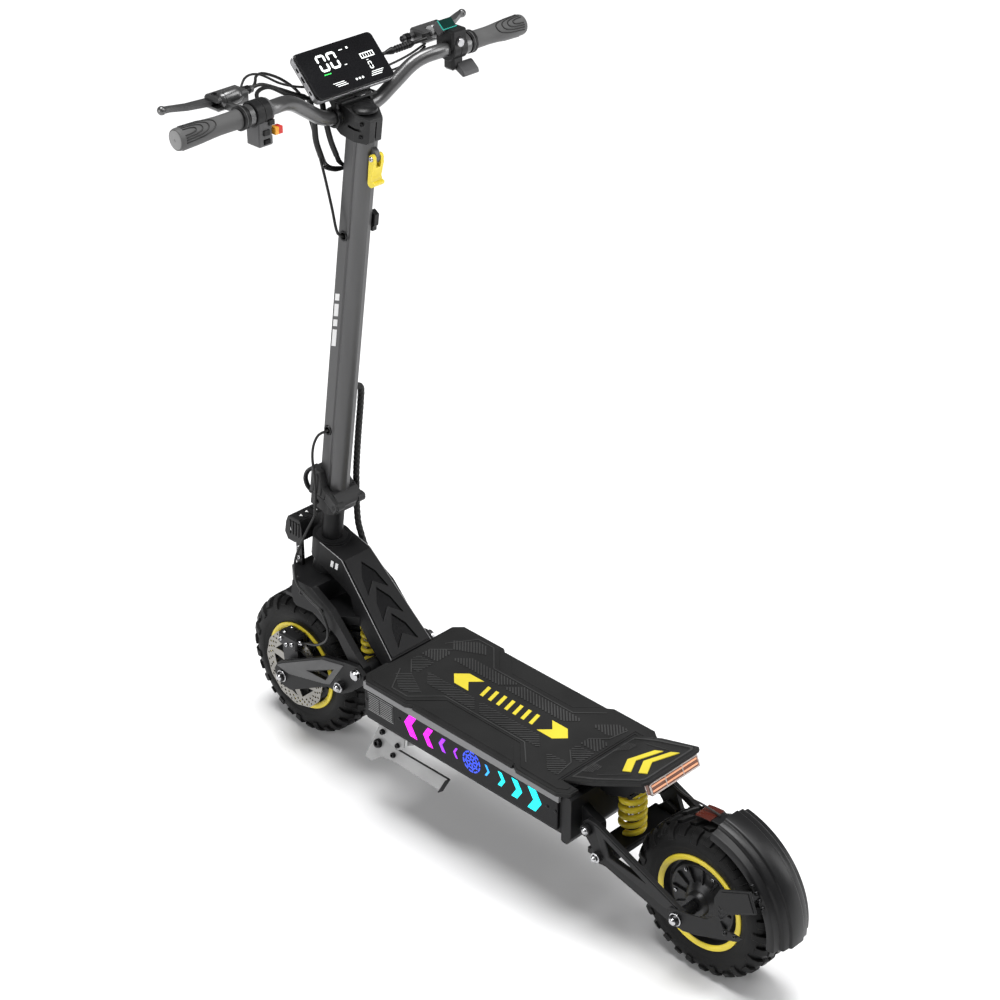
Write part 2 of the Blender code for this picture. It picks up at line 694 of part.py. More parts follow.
def fold_lever(on):
    blade = rounded([(-0.0300, 0.5180), (-0.0380, 0.5190), (-0.0430, 0.5100), (-0.0480, 0.4850), (-0.0470, 0.4640),
                     (-0.0400, 0.4640), (-0.0385, 0.4850), (-0.0350, 0.5040), (-0.0300, 0.5070)], 0.003, 1)
    lever = prism(blade, -0.0056, 0.0056, STEM)
    eye = rod(stem_point(-0.010, -0.0360, 0.5120), stem_point(0.010, -0.0360, 0.5120), 0.0031, 10)
    add("fold_lever", cut(lever, eye), on, "dark_alloy")


# ---------------------------------------------------------------- front suspension


def front_swing_arm(on):
    outline = rounded(
        [
            (-0.018, 0.110, 0.016),
            (0.020, 0.108),
            (0.113, 0.160),
            (0.150, 0.163, 0.010),
            (0.176, 0.180),
            (0.207, 0.209, 0.014),
            (0.203, 0.237, 0.014),
            (0.160, 0.229),
            (0.111, 0.217),
            (0.004, 0.158, 0.016),
            (-0.018, 0.146, 0.016),
        ],
        0.006,
        1,
    )
    window = [(0.066, 0.167), (0.134, 0.203), (0.112, 0.172)]
    plates = []
    for s in (1, -1):
        low, high = sorted((s * 0.0710, s * 0.0790))
        plate = prism(outline, low, high)
        plates.append(cut(plate, prism(window, low - 0.002, high + 0.002)))
    seat = chamfered_box((-0.0720, 0.1280, 0.1790), (0.0720, 0.1640, 0.1920), 0.002)
    tube = rod((-0.0570, *FRONT_PIVOT.yz), (0.0570, *FRONT_PIVOT.yz), 0.0120, 14)
    link = box((-0.0450, 0.1615, 0.1810), (0.0450, 0.1900, 0.2140))
    heads = [rod((s * 0.0780, 0.152, 0.181), (s * 0.0870, 0.152, 0.181), 0.0090, 12) for s in (1, -1)]
    holes = [rod((-0.095, *p.yz), (0.095, *p.yz), AXLE_RADIUS + 0.0005, 14) for p in (FRONT_AXLE, FRONT_PIVOT)]
    arm = cut(join(plates[0], plates[1], seat, tube, link, *heads), *holes)
    add("front_swing_arm", arm, on, "satin_grey")


def front_caliper(on):
    """Caliper over the rotor's top edge, with its bracket round the axle."""
    block = chamfered_box((0.0390, -0.0220, 0.1770), (0.0660, 0.0240, 0.2020), 0.003)
    slot = box((0.0488, -0.0300, 0.1700), (0.0532, 0.0300, 0.1990))
    bracket = prism(rounded([(-0.014, 0.1150), (0.014, 0.1150), (0.022, 0.1800), (-0.018, 0.1800)], 0.008, 2), 0.0560, 0.0600)
    hole = rod((0.040, *FRONT_AXLE.yz), (0.070, *FRONT_AXLE.yz), 0.0104, 14)
    add("front_caliper", cut(join(block, bracket), slot, hole), on, "dark_alloy")


# ---------------------------------------------------------------- rear suspension


def rear_swing_arm(on):
    outline = rounded(
        [
            (0.692, 0.184, 0.010),
            (0.692, 0.209, 0.010),
            (0.718, 0.210),
            (0.882, 0.1450, 0.016),
            (0.900, 0.1400, 0.014),
            (0.900, 0.1120, 0.014),
            (0.878, 0.1090, 0.014),
            (0.738, 0.1420, 0.012),
            (0.7210, 0.1390, 0.010),
            (0.7120, 0.1480, 0.010),
            (0.7120, 0.1610),
        ],
        0.006,
        1,
    )
    window = [(0.7370, 0.1900), (0.8180, 0.1560), (0.7480, 0.1640)]
    plates = []
    for s in (1, -1):
        low, high = sorted((s * 0.0765, s * 0.0840))
        plate = prism(outline, low, high)
        plates.append(cut(plate, prism(window, low - 0.002, high + 0.002)))
    seat = chamfered_box((-0.0775, 0.6960, 0.1400), (0.0775, 0.7420, 0.1520), 0.002)
    webs = [prism([(0.700, 0.1480), (0.742, 0.1480), (0.742, 0.1640), (0.722, 0.1700)], s * 0.0700, s * 0.0775) for s in (1, -1)]
    heads = [rod((s * 0.0830, 0.7245, 0.153), (s * 0.0900, 0.7245, 0.153), 0.0085, 12) for s in (1, -1)]
    holes = [rod((-0.095, *p.yz), (0.095, *p.yz), AXLE_RADIUS + 0.0005, 14) for p in (REAR_AXLE, REAR_PIVOT)]
    arm = cut(join(plates[0], plates[1], seat, *webs, *heads), *holes)
    add("rear_swing_arm", arm, on, "black_paint")


def rear_fender(on):
    """Ridged mudguard behind the tyre, carried by one bracket on the left of the axle."""
    ridge = FENDER_RADIUS
    outside = [(0.0420, 0.1310), (0.0420, 0.1400), (0.0385, 0.1465), (0.0290, 0.1475), (0.0120, ridge)]
    inside = [(0.0110, 0.1530), (0.0280, 0.1452), (0.0365, 0.1442), (0.0400, 0.1390), (0.0400, 0.1310)]
    section = outside + [(-x, r) for x, r in reversed(outside)] + [(-x, r) for x, r in reversed(inside)] + inside
    shell = arc_sweep(section, -3, 82, 9, REAR_AXLE)
    bracket = rounded(
        [
            (0.868, 0.1160, 0.012),
            (0.896, 0.1130, 0.012),
            (0.930, 0.1260),
            (0.986, 0.1480),
            (1.000, 0.1560),
            (1.004, 0.1960),
            (1.012, 0.2400),
            (0.966, 0.2320),
            (0.951, 0.2090),
            (0.951, 0.1800),
            (0.906, 0.1530),
            (0.868, 0.1420, 0.012),
        ],
        0.003,
        1,
    )
    plate = prism(bracket, 0.0850, 0.0880)
    tab = prism([(0.9985, 0.1700), (1.0035, 0.1700), (1.0115, 0.2390), (1.0065, 0.2390)], 0.0405, 0.0875)
    clear = rod((0.080, *REAR_AXLE.yz), (0.095, *REAR_AXLE.yz), 0.0115, 14)
    add("rear_fender", cut(join(shell, plate, tab), clear), on, "black_plastic")


def coil_spring(name, on, y, low, high, radius, wire, turns):
    """A round wire wound about an upright line, with closed ends."""
    steps = 10
    count = round(turns * steps)
    sides = 4
    bm = bmesh.new()
    rings = []
    for i in range(count + 1):
        angle = 2 * pi * i / steps
        height = low + wire + (high - low - 2 * wire) * i / count
        out = Vector((cos(angle), sin(angle), 0))
        centre = Vector((0, y, height)) + out * radius
        spokes = [(cos(2 * pi * k / sides), sin(2 * pi * k / sides)) for k in range(sides)]
        rings.append([bm.verts.new(centre + out * (wire * a) + Vector((0, 0, wire * b))) for a, b in spokes])
    for ring, after in zip(rings, rings[1:]):
        for k in range(sides):
            m = (k + 1) % sides
            bm.faces.new((ring[k], ring[m], after[m], after[k]))
    bm.faces.new(rings[0][::-1])
    bm.faces.new(rings[-1])
    add(name, solid(bm), on, "yellow")


# ---------------------------------------------------------------- stem and handlebar


def stem_outline(grow):
    """The stem's section in (x, behind) points: a flat-sided front, a groove, and a round rear lobe."""
    w, front = STEM_HALF_WIDTH + grow, STEM_FRONT - grow
    flank = [(w - 0.004, front), (w, front + 0.004), (w, 0.0000), (w - 0.002, 0.0015), (w - 0.002, 0.0045)]
    lobe = [(w * cos(a), STEM_LOBE + w * sin(a)) for a in (radians(d) for d in (2, 30, 60, 90))]
    return flank + lobe + [(-x, y) for x, y in reversed(flank + lobe[:-1])]


def stem(on):
    tube = column(stem_outline(0), 0.4900, 1.1300, STEM)
    bore = column(stem_outline(-0.003), 0.4800, 1.1400, STEM)
    entry = rod(stem_point(0.010, -0.0066, 0.9585), stem_point(0.030, -0.0066, 0.9585), 0.0068, 10)
    outlet = rod(stem_point(0.010, -0.0087, 0.6053), stem_point(0.030, -0.0087, 0.6053), 0.0068, 10)
    harness_door = rod(stem_point(0, -0.030, 1.0600), stem_point(0, -0.015, 1.0600), 0.0080, 12)
    loom_door = rod(stem_point(-0.010, 0.0070, 0.6850), stem_point(-0.030, 0.0070, 0.6850), 0.0088, 12)
    tab = prism(rounded([(0.0190, 1.0930), (0.0190, 1.1160), (0.0300, 1.1130), (0.0350, 1.1010), (0.0330, 1.0930)], 0.003, 1),
                -0.0040, 0.0040, STEM)
    pin = rod(stem_point(-0.0105, 0.0300, 1.1010), stem_point(0.0105, 0.0300, 1.1010), 0.0025, 10)
    tube = cut(tube, harness_door, entry, outlet, loom_door, bore)
    add("stem_tube", join(tube, tab, pin), on, "satin_grey")


def stem_hook(on):
    side = rounded([(0.0250, 1.1070), (0.0340, 1.1080), (0.0365, 1.0950), (0.0335, 1.0720), (0.0370, 1.0640),
                    (0.0405, 1.0680), (0.0415, 1.0610), (0.0340, 1.0550), (0.0262, 1.0580), (0.0258, 1.0800)], 0.003, 1)
    body_shape = prism(side, -0.0100, 0.0100, STEM)
    fork_room = box((-0.0045, 0.0200, 1.0880), (0.0045, 0.0420, 1.1200), STEM)
    eye = rod(stem_point(-0.014, 0.0300, 1.1010), stem_point(0.014, 0.0300, 1.1010), 0.0030, 10)
    add("stem_hook", cut(body_shape, fork_room, eye), on, "yellow")


def bar_path():
    """The bar's centre line from right to left, with a round bend at each corner."""
    half = [BAR_CENTRE, BAR_LOW_BEND, BAR_HIGH_BEND, BAR_OUTER_BEND, GRIP_OUTER]
    bends = []
    for before, corner, after, reach in zip(half, half[1:], half[2:], (0.012, 0.018, 0.012)):
        back, ahead = (before - corner).normalized(), (after - corner).normalized()
        first, last = corner + back * reach, corner + ahead * reach
        for k in range(3):
            t = k / 2
            bends.append(first * (1 - t) ** 2 + corner * 2 * t * (1 - t) + last * t**2)
    left = [*bends, GRIP_OUTER]
    right = [Vector((-p.x, p.y, p.z)) for p in reversed(left)]
    return right + left


def bar_frame(sign, distance):
    """A frame on the bar's straight end: z runs outward along the grip, from its inner end."""
    inner = Vector((sign * GRIP_INNER.x, GRIP_INNER.y, GRIP_INNER.z))
    outer = Vector((sign * GRIP_OUTER.x, GRIP_OUTER.y, GRIP_OUTER.z))
    outward = (outer - inner).normalized()
    return Matrix.Translation(inner + outward * distance) @ outward.to_track_quat("Z", "Y").to_matrix().to_4x4()


def handlebar(on):
    add("handlebar", tube_along(bar_path(), BAR_RADIUS, BAR_RADIUS - 0.002, 10), on, "dark_alloy")
    clamp = rounded([(-0.0480, 1.1340), (-0.0480, 1.1640), (-0.0200, 1.1690), (0.0245, 1.1600), (0.0245, 1.1220),
                     (-0.0240, 1.1220)], 0.003, 1)
    clamp_plan = [(0.0235, -0.0600), (0.0235, 0.0040), (0.0110, 0.0270), (-0.0110, 0.0270), (-0.0235, 0.0040), (-0.0235, -0.0600)]
    block = combine(prism(clamp, -0.0300, 0.0300, STEM), [column(clamp_plan, 1.100, 1.190, STEM)], "INTERSECT")
    seat = rod(BAR_CENTRE - Vector((0.03, 0, 0)), BAR_CENTRE + Vector((0.03, 0, 0)), BAR_RADIUS + GAP * 2, 20)
    socket = column(stem_outline(0.0005), 1.1100, 1.1305, STEM)
    slit = box((-0.0012, 0.0150, 1.1100), (0.0012, 0.0400, 1.1560), STEM)
    side_slot = box((0.0180, -0.0100, 1.1400), (0.0300, 0.0400, 1.1440), STEM)
    add("bar_clamp", cut(block, seat, socket, slit, side_slot), on, "satin_grey")

    grip = [(0.1180, 0), (0.1180, 0.0150), (0.1160, 0.0162), (0.0800, 0.0160), (0.0450, 0.0135), (0.0100, 0.0140),
            (0.0080, 0.0165), (0.0000, 0.0165), (0.0000, BAR_RADIUS + GAP), (0.1157, BAR_RADIUS + GAP), (0.1157, 0)]
    for side, sign in (("left", 1), ("right", -1)):
        frame = bar_frame(sign, 0) @ Matrix.Rotation(-pi / 2, 4, "Y")
        add(f"grip_{side}", turned(grip, 16, frame), on, "grip_rubber")


def display(on):
    """Instrument on a two-armed bracket that sits over the bar."""
    face = Matrix.Translation(DISPLAY_CENTRE) @ Matrix.Rotation(-DISPLAY_TILT, 4, "X")
    casing = chamfered_box((-0.0750, -0.0390, -0.0150), (0.0750, 0.0390, -0.0018), 0.003, face)
    arms = []
    for s in (1, -1):
        arms.append(prism([(0.1080, 1.2000), (0.1280, 1.1900), (0.1420, 1.1560), (0.1360, 1.1500), (0.1160, 1.1760)],
                          s * 0.0300, s * 0.0360))
        arms.append(rod((s * 0.0300, *BAR_CENTRE.yz), (s * 0.0360, *BAR_CENTRE.yz), BAR_RADIUS + 0.0050, 16))
    tie = box((-0.0350, 0.1270, 1.1640), (0.0350, 0.1370, 1.1690))
    bar_room = rod(BAR_CENTRE - Vector((0.05, 0, 0)), BAR_CENTRE + Vector((0.05, 0, 0)), BAR_RADIUS + GAP * 2, 20)
    add("display_housing", cut(join(casing, *arms, tie), bar_room), on, "black_plastic")
    glass = chamfered_box((-0.0735, -0.0375, -0.0015), (0.0735, 0.0375, 0.0), 0.0004, face)
    add("display_glass", glass, on, "gloss_black")


def controls(on, on_rocker, on_horn, on_paddle, on_power):
    """Switch block on the left and throttle housing on the right, each clamped round the bar."""
    ring = [rod(bar_frame(s, -0.042) @ Vector(), bar_frame(s, -0.0130) @ Vector(), 0.0175, 16) for s in (1, -1)]
    room = [rod(bar_frame(s, -0.060) @ Vector(), bar_frame(s, 0.010) @ Vector(), BAR_RADIUS + 0.0006, 16) for s in (1, -1)]

    block = chamfered_box((0.1770, 0.1400, 0.1510 + 1.0), (0.2030, 0.1680, 1.1880), 0.002)
    rocker_room = box((0.1600, 0.1590, 1.1640), (0.1800, 0.1720, 1.1760))
    horn_room = box((0.1830, 0.1620, 1.1540), (0.1950, 0.1760, 1.1620))
    add("switch_block", cut(join(ring[0], block), room[0], rocker_room, horn_room), on, "grey_plastic")
    add("light_switch", chamfered_box((0.1620, 0.1595, 1.1645), (0.1760, 0.1715, 1.1755), 0.001), on_rocker, "red_plastic")
    add("horn_button", chamfered_box((0.1835, 0.1645, 1.1545), (0.1945, 0.1705, 1.1615), 0.001), on_horn, "black_plastic")

    housing = chamfered_box((-0.2030, 0.1300, 1.1960), (-0.1730, 0.1680, 1.2280), 0.003)
    lobe = chamfered_box((-0.2000, 0.1420, 1.1640), (-0.1760, 0.1640, 1.2000), 0.004)
    paddle_room = box((-0.2100, 0.1515, 1.1600), (-0.1850, 0.1700, 1.1760))
    button_room = rod((-0.1880, 0.1640, 1.2080), (-0.1880, 0.1750, 1.2080), 0.0078, 14)
    add("throttle_housing", cut(join(ring[1], housing, lobe), room[1], paddle_room, button_room), on, "grey_plastic")
    paddle = rounded([(0.1570, 1.1745), (0.1630, 1.1745), (0.1760, 1.1640), (0.1790, 1.1560), (0.1730, 1.1560),
                      (0.1570, 1.1640)], 0.002, 1)
    add("throttle_paddle", prism(paddle, -0.2180, -0.1865), on_paddle, "black_plastic")
    button = turned([(0, 0), (0, 0.0070), (0.0040, 0.0070), (0.0050, 0.0060), (0.0050, 0)], 14,
                    Matrix.Translation((-0.1880, 0.1658, 1.2080)) @ Matrix.Rotation(pi / 2, 4, "Z"))
    add("power_button", button, on_power, "steel")


LEVER_PIVOT = Vector((0.2150, 0.0900, 1.2040))


def brake_levers(on, on_left, on_right):
    """A perch round the bar at each side, and the lever that swings in it towards the grip."""
    for side, sign, lever_body in (("left", 1, on_left), ("right", -1, on_right)):
        mirror = Matrix.Diagonal((sign, 1, 1, 1))
        ring = rod((0.2050, *GRIP_INNER.yz), (0.2135, *GRIP_INNER.yz), 0.0160, 16)
        neck_arm = box((0.2050, 0.1060, 1.1960), (0.2130, 0.1420, 1.2060))
        head = chamfered_box((0.1680, 0.0780, 1.1940), (0.2260, 0.1100, 1.2140), 0.003)
        barrel = rod((0.1700, 0.0870, 1.2040), (0.1460, 0.0870, 1.2030), 0.0055, 12)
        slot = box((0.2030, 0.0700, 1.2000), (0.2400, 0.1005, 1.2080))
        stop = box((0.2030, 0.0990, 1.2000), (0.2400, 0.1120, 1.2080))
        room = rod((0.1900, *GRIP_INNER.yz), (0.2300, *GRIP_INNER.yz), BAR_RADIUS + 0.0006, 16)
        pin = rod((LEVER_PIVOT.x, LEVER_PIVOT.y, 1.1960), (LEVER_PIVOT.x, LEVER_PIVOT.y, 1.2120), 0.0022, 10)
        perch = join(cut(join(ring, neck_arm, head, barrel), room, slot, stop), pin)
        blade = [(0.2080, 0.0860), (0.2100, 0.0950), (0.2260, 0.0960), (0.2600, 0.0860), (0.2820, 0.0730), (0.2930, 0.0720),
                 (0.2960, 0.0660), (0.2900, 0.0610), (0.2780, 0.0650), (0.2560, 0.0740), (0.2250, 0.0780)]
        lever = column(rounded(blade, 0.003, 1), 1.2005, 1.2075)
        lever = cut(lever, rod((LEVER_PIVOT.x, LEVER_PIVOT.y, 1.1900), (LEVER_PIVOT.x, LEVER_PIVOT.y, 1.2200), 0.0027, 10))
        for shape in (perch, lever):
            if sign < 0:
                shape.data.transform(mirror)
                shape.data.flip_normals()
        add(f"lever_perch_{side}", perch, on, "dark_alloy")
        add(f"brake_lever_{side}", lever, lever_body, "black_paint")


# ---------------------------------------------------------------- cables


def cables(on_stem, on_fork, on_frame):
    """Cables held between housings, each along its whole route. Every end stops just short of what holds it."""
    brake_upper = [
        (0.1445, 0.0868, 1.2029),
        (0.1330, 0.0800, 1.2070),
        (0.1230, 0.0710, 1.2120),
        (0.1050, 0.0680, 1.2100),
        (0.0800, 0.0780, 1.1960),
        (0.0600, 0.0920, 1.1720),
        (0.0500, 0.0980, 1.1350),
        (0.0440, 0.1030, 1.1000),
        (0.0360, 0.1000, 1.0750),
        (0.0320, 0.1060, 1.0400),
        (0.0290, 0.1150, 0.9950),
        (0.0280, 0.1240, 0.9570),
        (0.0180, 0.1265, 0.9485),
        (0.0070, 0.1255, 0.9400),
        (0.0020, 0.1180, 0.9000),
        (0.0000, 0.1050, 0.7800),
        (0.0020, 0.0850, 0.6500),
        (0.0040, 0.0765, 0.6160),
        (0.0100, 0.0738, 0.6030),
        (0.0178, 0.0732, 0.6000),
    ]
    add("front_brake_cable_upper", cable(brake_upper, 0.0022, 0.020), on_stem, "cable")
    brake_lower = [
        (0.0185, 0.0730, 0.5990),
        (0.0300, 0.0600, 0.5880),
        (0.0350, 0.0520, 0.5550),
        (0.0370, 0.0580, 0.5000),
        (0.0440, 0.0620, 0.4500),
        (0.0560, 0.0450, 0.4050),
        (0.0700, 0.0380, 0.3650),
        (0.0760, 0.0480, 0.3300),
        (0.0760, 0.0760, 0.3120),
        (0.0760, 0.1050, 0.3000),
        (0.0770, 0.1200, 0.2750),
        (0.0740, 0.1120, 0.2480),
        (0.0680, 0.0820, 0.2220),
        (0.0600, 0.0480, 0.2050),
        (0.0560, 0.0290, 0.1950),
    ]
    add("front_brake_cable_lower", cable(brake_lower, 0.0022, 0.020), on_fork, "cable")
    loom = [
        (-0.0185, 0.1005, 0.6765),
        (-0.0290, 0.1020, 0.6690),
        (-0.0300, 0.0990, 0.6400),
        (-0.0270, 0.0900, 0.5850),
        (-0.0330, 0.0780, 0.5450),
        (-0.0370, 0.0690, 0.5100),
        (-0.0370, 0.0610, 0.4450),
        (-0.0380, 0.0680, 0.4090),
        (-0.0410, 0.0770, 0.3780),
        (-0.0410, 0.0850, 0.3620),
        (-0.0335, 0.0860, 0.3590),
    ]
    add("main_loom", cable(loom, 0.0050, 0.024, 1), on_frame, "cable")
    harness = [
        (0.0300, 0.1060, 1.1800),
        (0.0325, 0.1060, 1.1500),
        (0.0315, 0.1120, 1.1250),
        (0.0280, 0.1150, 1.1000),
        (0.0180, 0.1150, 1.0740),
        (0.0060, 0.1180, 1.0580),
        (0.0000, 0.1287, 1.0522),
    ]
    add("bar_harness", cable(harness, 0.0045, 0.018, 1), on_stem, "cable")


# ---------------------------------------------------------------- assembly


def scooter():
    for old in list(bpy.data.objects):
        bpy.data.objects.remove(old)

    frame = body("scooter", (0, 0, 0))
    frame.location = (0, -MIDDLE_Y, 0)
    fork = body("fork", on_axis(0.40), frame)
    front_arm = body("front_arm", FRONT_PIVOT, fork)
    front_wheel = body("front_wheel", FRONT_AXLE, front_arm)
    hinge = stem_point(0, HINGE_BEHIND, HINGE_HEIGHT)
    stem_body = body("stem", hinge, fork)
    fold_lever_body = body("fold_lever_pivot", stem_point(0, -0.0360, 0.5120), stem_body)
    hook_body = body("hook_pivot", stem_point(0, 0.0300, 1.1010), stem_body)
    brake_left = body("brake_left_pivot", LEVER_PIVOT, stem_body)
    brake_right = body("brake_right_pivot", Vector((-LEVER_PIVOT.x, LEVER_PIVOT.y, LEVER_PIVOT.z)), stem_body)
    rocker = body("light_switch_slide", (0.1690, 0.1655, 1.1700), stem_body)
    horn = body("horn_slide", (0.1890, 0.1675, 1.1580), stem_body)
    paddle = body("throttle_pivot", (-0.2000, 0.1600, 1.1700), stem_body)
    power = body("power_slide", (-0.1880, 0.1658, 1.2080), stem_body)
    stand = body("kickstand_pivot", KICKSTAND_PIVOT, frame)
    rear_arm = body("rear_arm", REAR_PIVOT, frame)
    rear_wheel = body("rear_wheel", REAR_AXLE, rear_arm)

    deck(frame)
    tail(frame)
    rear_end_cap(frame)
    neck(frame)
    kickstand(frame, stand)

    front_fork(fork)
    headlight(fork)
    fold_collar(fork, stem_body)
    fold_lever(fold_lever_body)

    front_swing_arm(front_arm)
    axle("front_axle", front_arm, FRONT_AXLE, (0.0790, 0.0790), 0.0620, 0.0705, 0.0455)
    front_caliper(front_arm)
    tyre("front_tyre", front_wheel, FRONT_AXLE)
    front_rim(front_wheel)
    front_rotor(front_wheel)

    rear_swing_arm(rear_arm)
    axle("rear_axle", rear_arm, REAR_AXLE, (0.0880, 0.0840), 0.0465, 0.0760, 0.0465)
    rear_fender(rear_arm)
    tyre("rear_tyre", rear_wheel, REAR_AXLE)
    rear_hub_motor(rear_wheel)

    coil_spring("front_spring", fork, FRONT_SPRING_Y, 0.1926, 0.2776, 0.0158, 0.0042, 5)
    coil_spring("rear_spring", frame, REAR_SPRING_Y, 0.1524, 0.2371, 0.0172, 0.0044, 5)

    stem(stem_body)
    stem_hook(hook_body)
    handlebar(stem_body)
    display(stem_body)
    controls(stem_body, rocker, horn, paddle, power)
    brake_levers(stem_body, brake_left, brake_right)
    cables(stem_body, fork, frame)


scooter()
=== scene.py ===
"""Looks of the electric kick scooter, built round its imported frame.

place(x, y, z) takes metres in the scooter's own plan: x runs to its left, y back from the front axle and z
up from the ground.
"""

import json
from math import atan, cos, hypot, pi, radians, sin

import bmesh
import bpy
from mathutils import Matrix, Vector

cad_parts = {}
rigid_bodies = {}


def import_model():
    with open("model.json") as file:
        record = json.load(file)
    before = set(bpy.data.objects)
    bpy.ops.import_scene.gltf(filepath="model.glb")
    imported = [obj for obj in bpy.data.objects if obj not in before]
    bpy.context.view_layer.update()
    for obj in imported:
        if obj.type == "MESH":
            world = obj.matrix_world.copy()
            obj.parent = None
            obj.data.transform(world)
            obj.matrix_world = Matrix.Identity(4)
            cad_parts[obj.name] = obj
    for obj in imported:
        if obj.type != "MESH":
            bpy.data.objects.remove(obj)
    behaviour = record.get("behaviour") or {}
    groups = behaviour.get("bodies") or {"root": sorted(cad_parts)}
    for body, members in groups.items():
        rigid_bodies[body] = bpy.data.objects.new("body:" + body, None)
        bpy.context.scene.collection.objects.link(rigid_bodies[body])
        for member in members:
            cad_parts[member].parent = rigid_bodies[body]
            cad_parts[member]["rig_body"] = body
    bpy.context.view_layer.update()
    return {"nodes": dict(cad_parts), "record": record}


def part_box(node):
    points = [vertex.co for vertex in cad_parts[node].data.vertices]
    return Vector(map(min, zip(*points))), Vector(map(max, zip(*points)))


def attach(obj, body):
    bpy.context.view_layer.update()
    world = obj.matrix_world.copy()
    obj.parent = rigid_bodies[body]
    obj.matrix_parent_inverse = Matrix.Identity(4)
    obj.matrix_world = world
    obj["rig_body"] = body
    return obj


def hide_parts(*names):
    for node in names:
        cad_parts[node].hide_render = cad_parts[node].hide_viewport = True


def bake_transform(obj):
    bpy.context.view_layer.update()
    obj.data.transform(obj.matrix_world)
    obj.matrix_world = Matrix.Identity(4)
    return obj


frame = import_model()
NODES = frame["nodes"]
SLOTS = {part["node"]: part["material_slot"] for part in frame["record"]["subparts"]}

MIDDLE = 0.455
RAKE = radians(8.46)
TYRE_RADIUS = 0.1275
WHEELBASE = 0.882
SIDES = ((1, "left"), (-1, "right"))


def place(x, y, z):
    return Vector((x, y - MIDDLE, z))


STEM = Matrix.Translation((0, -0.0075 - MIDDLE, 0)) @ Matrix.Rotation(-RAKE, 4, "X")
# Frames for outlines: SIDE reads (y, z) and goes across, PLAN reads (x, y) and goes up
SIDEWAYS = Matrix(((0, 0, 1, 0), (1, 0, 0, 0), (0, 1, 0, 0), (0, 0, 0, 1)))
PLAN = Matrix.Translation((0, -MIDDLE, 0))
SIDE = PLAN @ SIDEWAYS
STEM_SIDE = STEM @ SIDEWAYS


def on_stem(x, behind, height):
    return STEM @ Vector((x, behind, height))


# ---------------------------------------------------------------- camera, light and floor

scene = bpy.context.scene
camera = bpy.data.objects.new("camera", bpy.data.cameras.new("camera"))
scene.collection.objects.link(camera)
camera.location = (2.19, 2.152, 2.401)
camera.rotation_mode = "QUATERNION"
camera.rotation_quaternion = (Vector((-0.0155, -0.0277, 0.5987)) - camera.location).to_track_quat("-Z", "Y")
camera.data.lens = 86.36
camera.data.sensor_width = 36
camera.data.shift_x = -0.003
camera.data.shift_y = 0.0026
scene.camera = camera
scene.view_settings.view_transform = "Standard"


def area_light(name, location, target, size, power):
    data = bpy.data.lights.new(name, "AREA")
    data.shape = "RECTANGLE"
    data.size, data.size_y = size
    data.energy = power
    light = bpy.data.objects.new(name, data)
    scene.collection.objects.link(light)
    light.location = location
    light.rotation_mode = "QUATERNION"
    light.rotation_quaternion = (Vector(target) - Vector(location)).to_track_quat("-Z", "Y")


area_light("key", (-0.8, 1.6, 3.2), (0, 0, 0.5), (1.6, 1.6), 45)
area_light("side", (3.0, -0.9, 1.5), (0, 0, 0.4), (1.6, 1.6), 40)
area_light("rear", (-2.4, 2.2, 1.5), (0, 0, 0.6), (0.8, 2.0), 30)
sun = bpy.data.objects.new("sky", bpy.data.lights.new("sky", "SUN"))
sun.data.energy = 3.5
sun.data.angle = radians(33)
sun.rotation_euler = (radians(4), radians(1), 0)
scene.collection.objects.link(sun)

world = bpy.data.worlds.new("studio")
world.use_nodes = True
world.node_tree.nodes["Background"].inputs["Color"].default_value = (1, 1, 1, 1)
world.node_tree.nodes["Background"].inputs["Strength"].default_value = 0.14
scene.world = world

# ---------------------------------------------------------------- materials


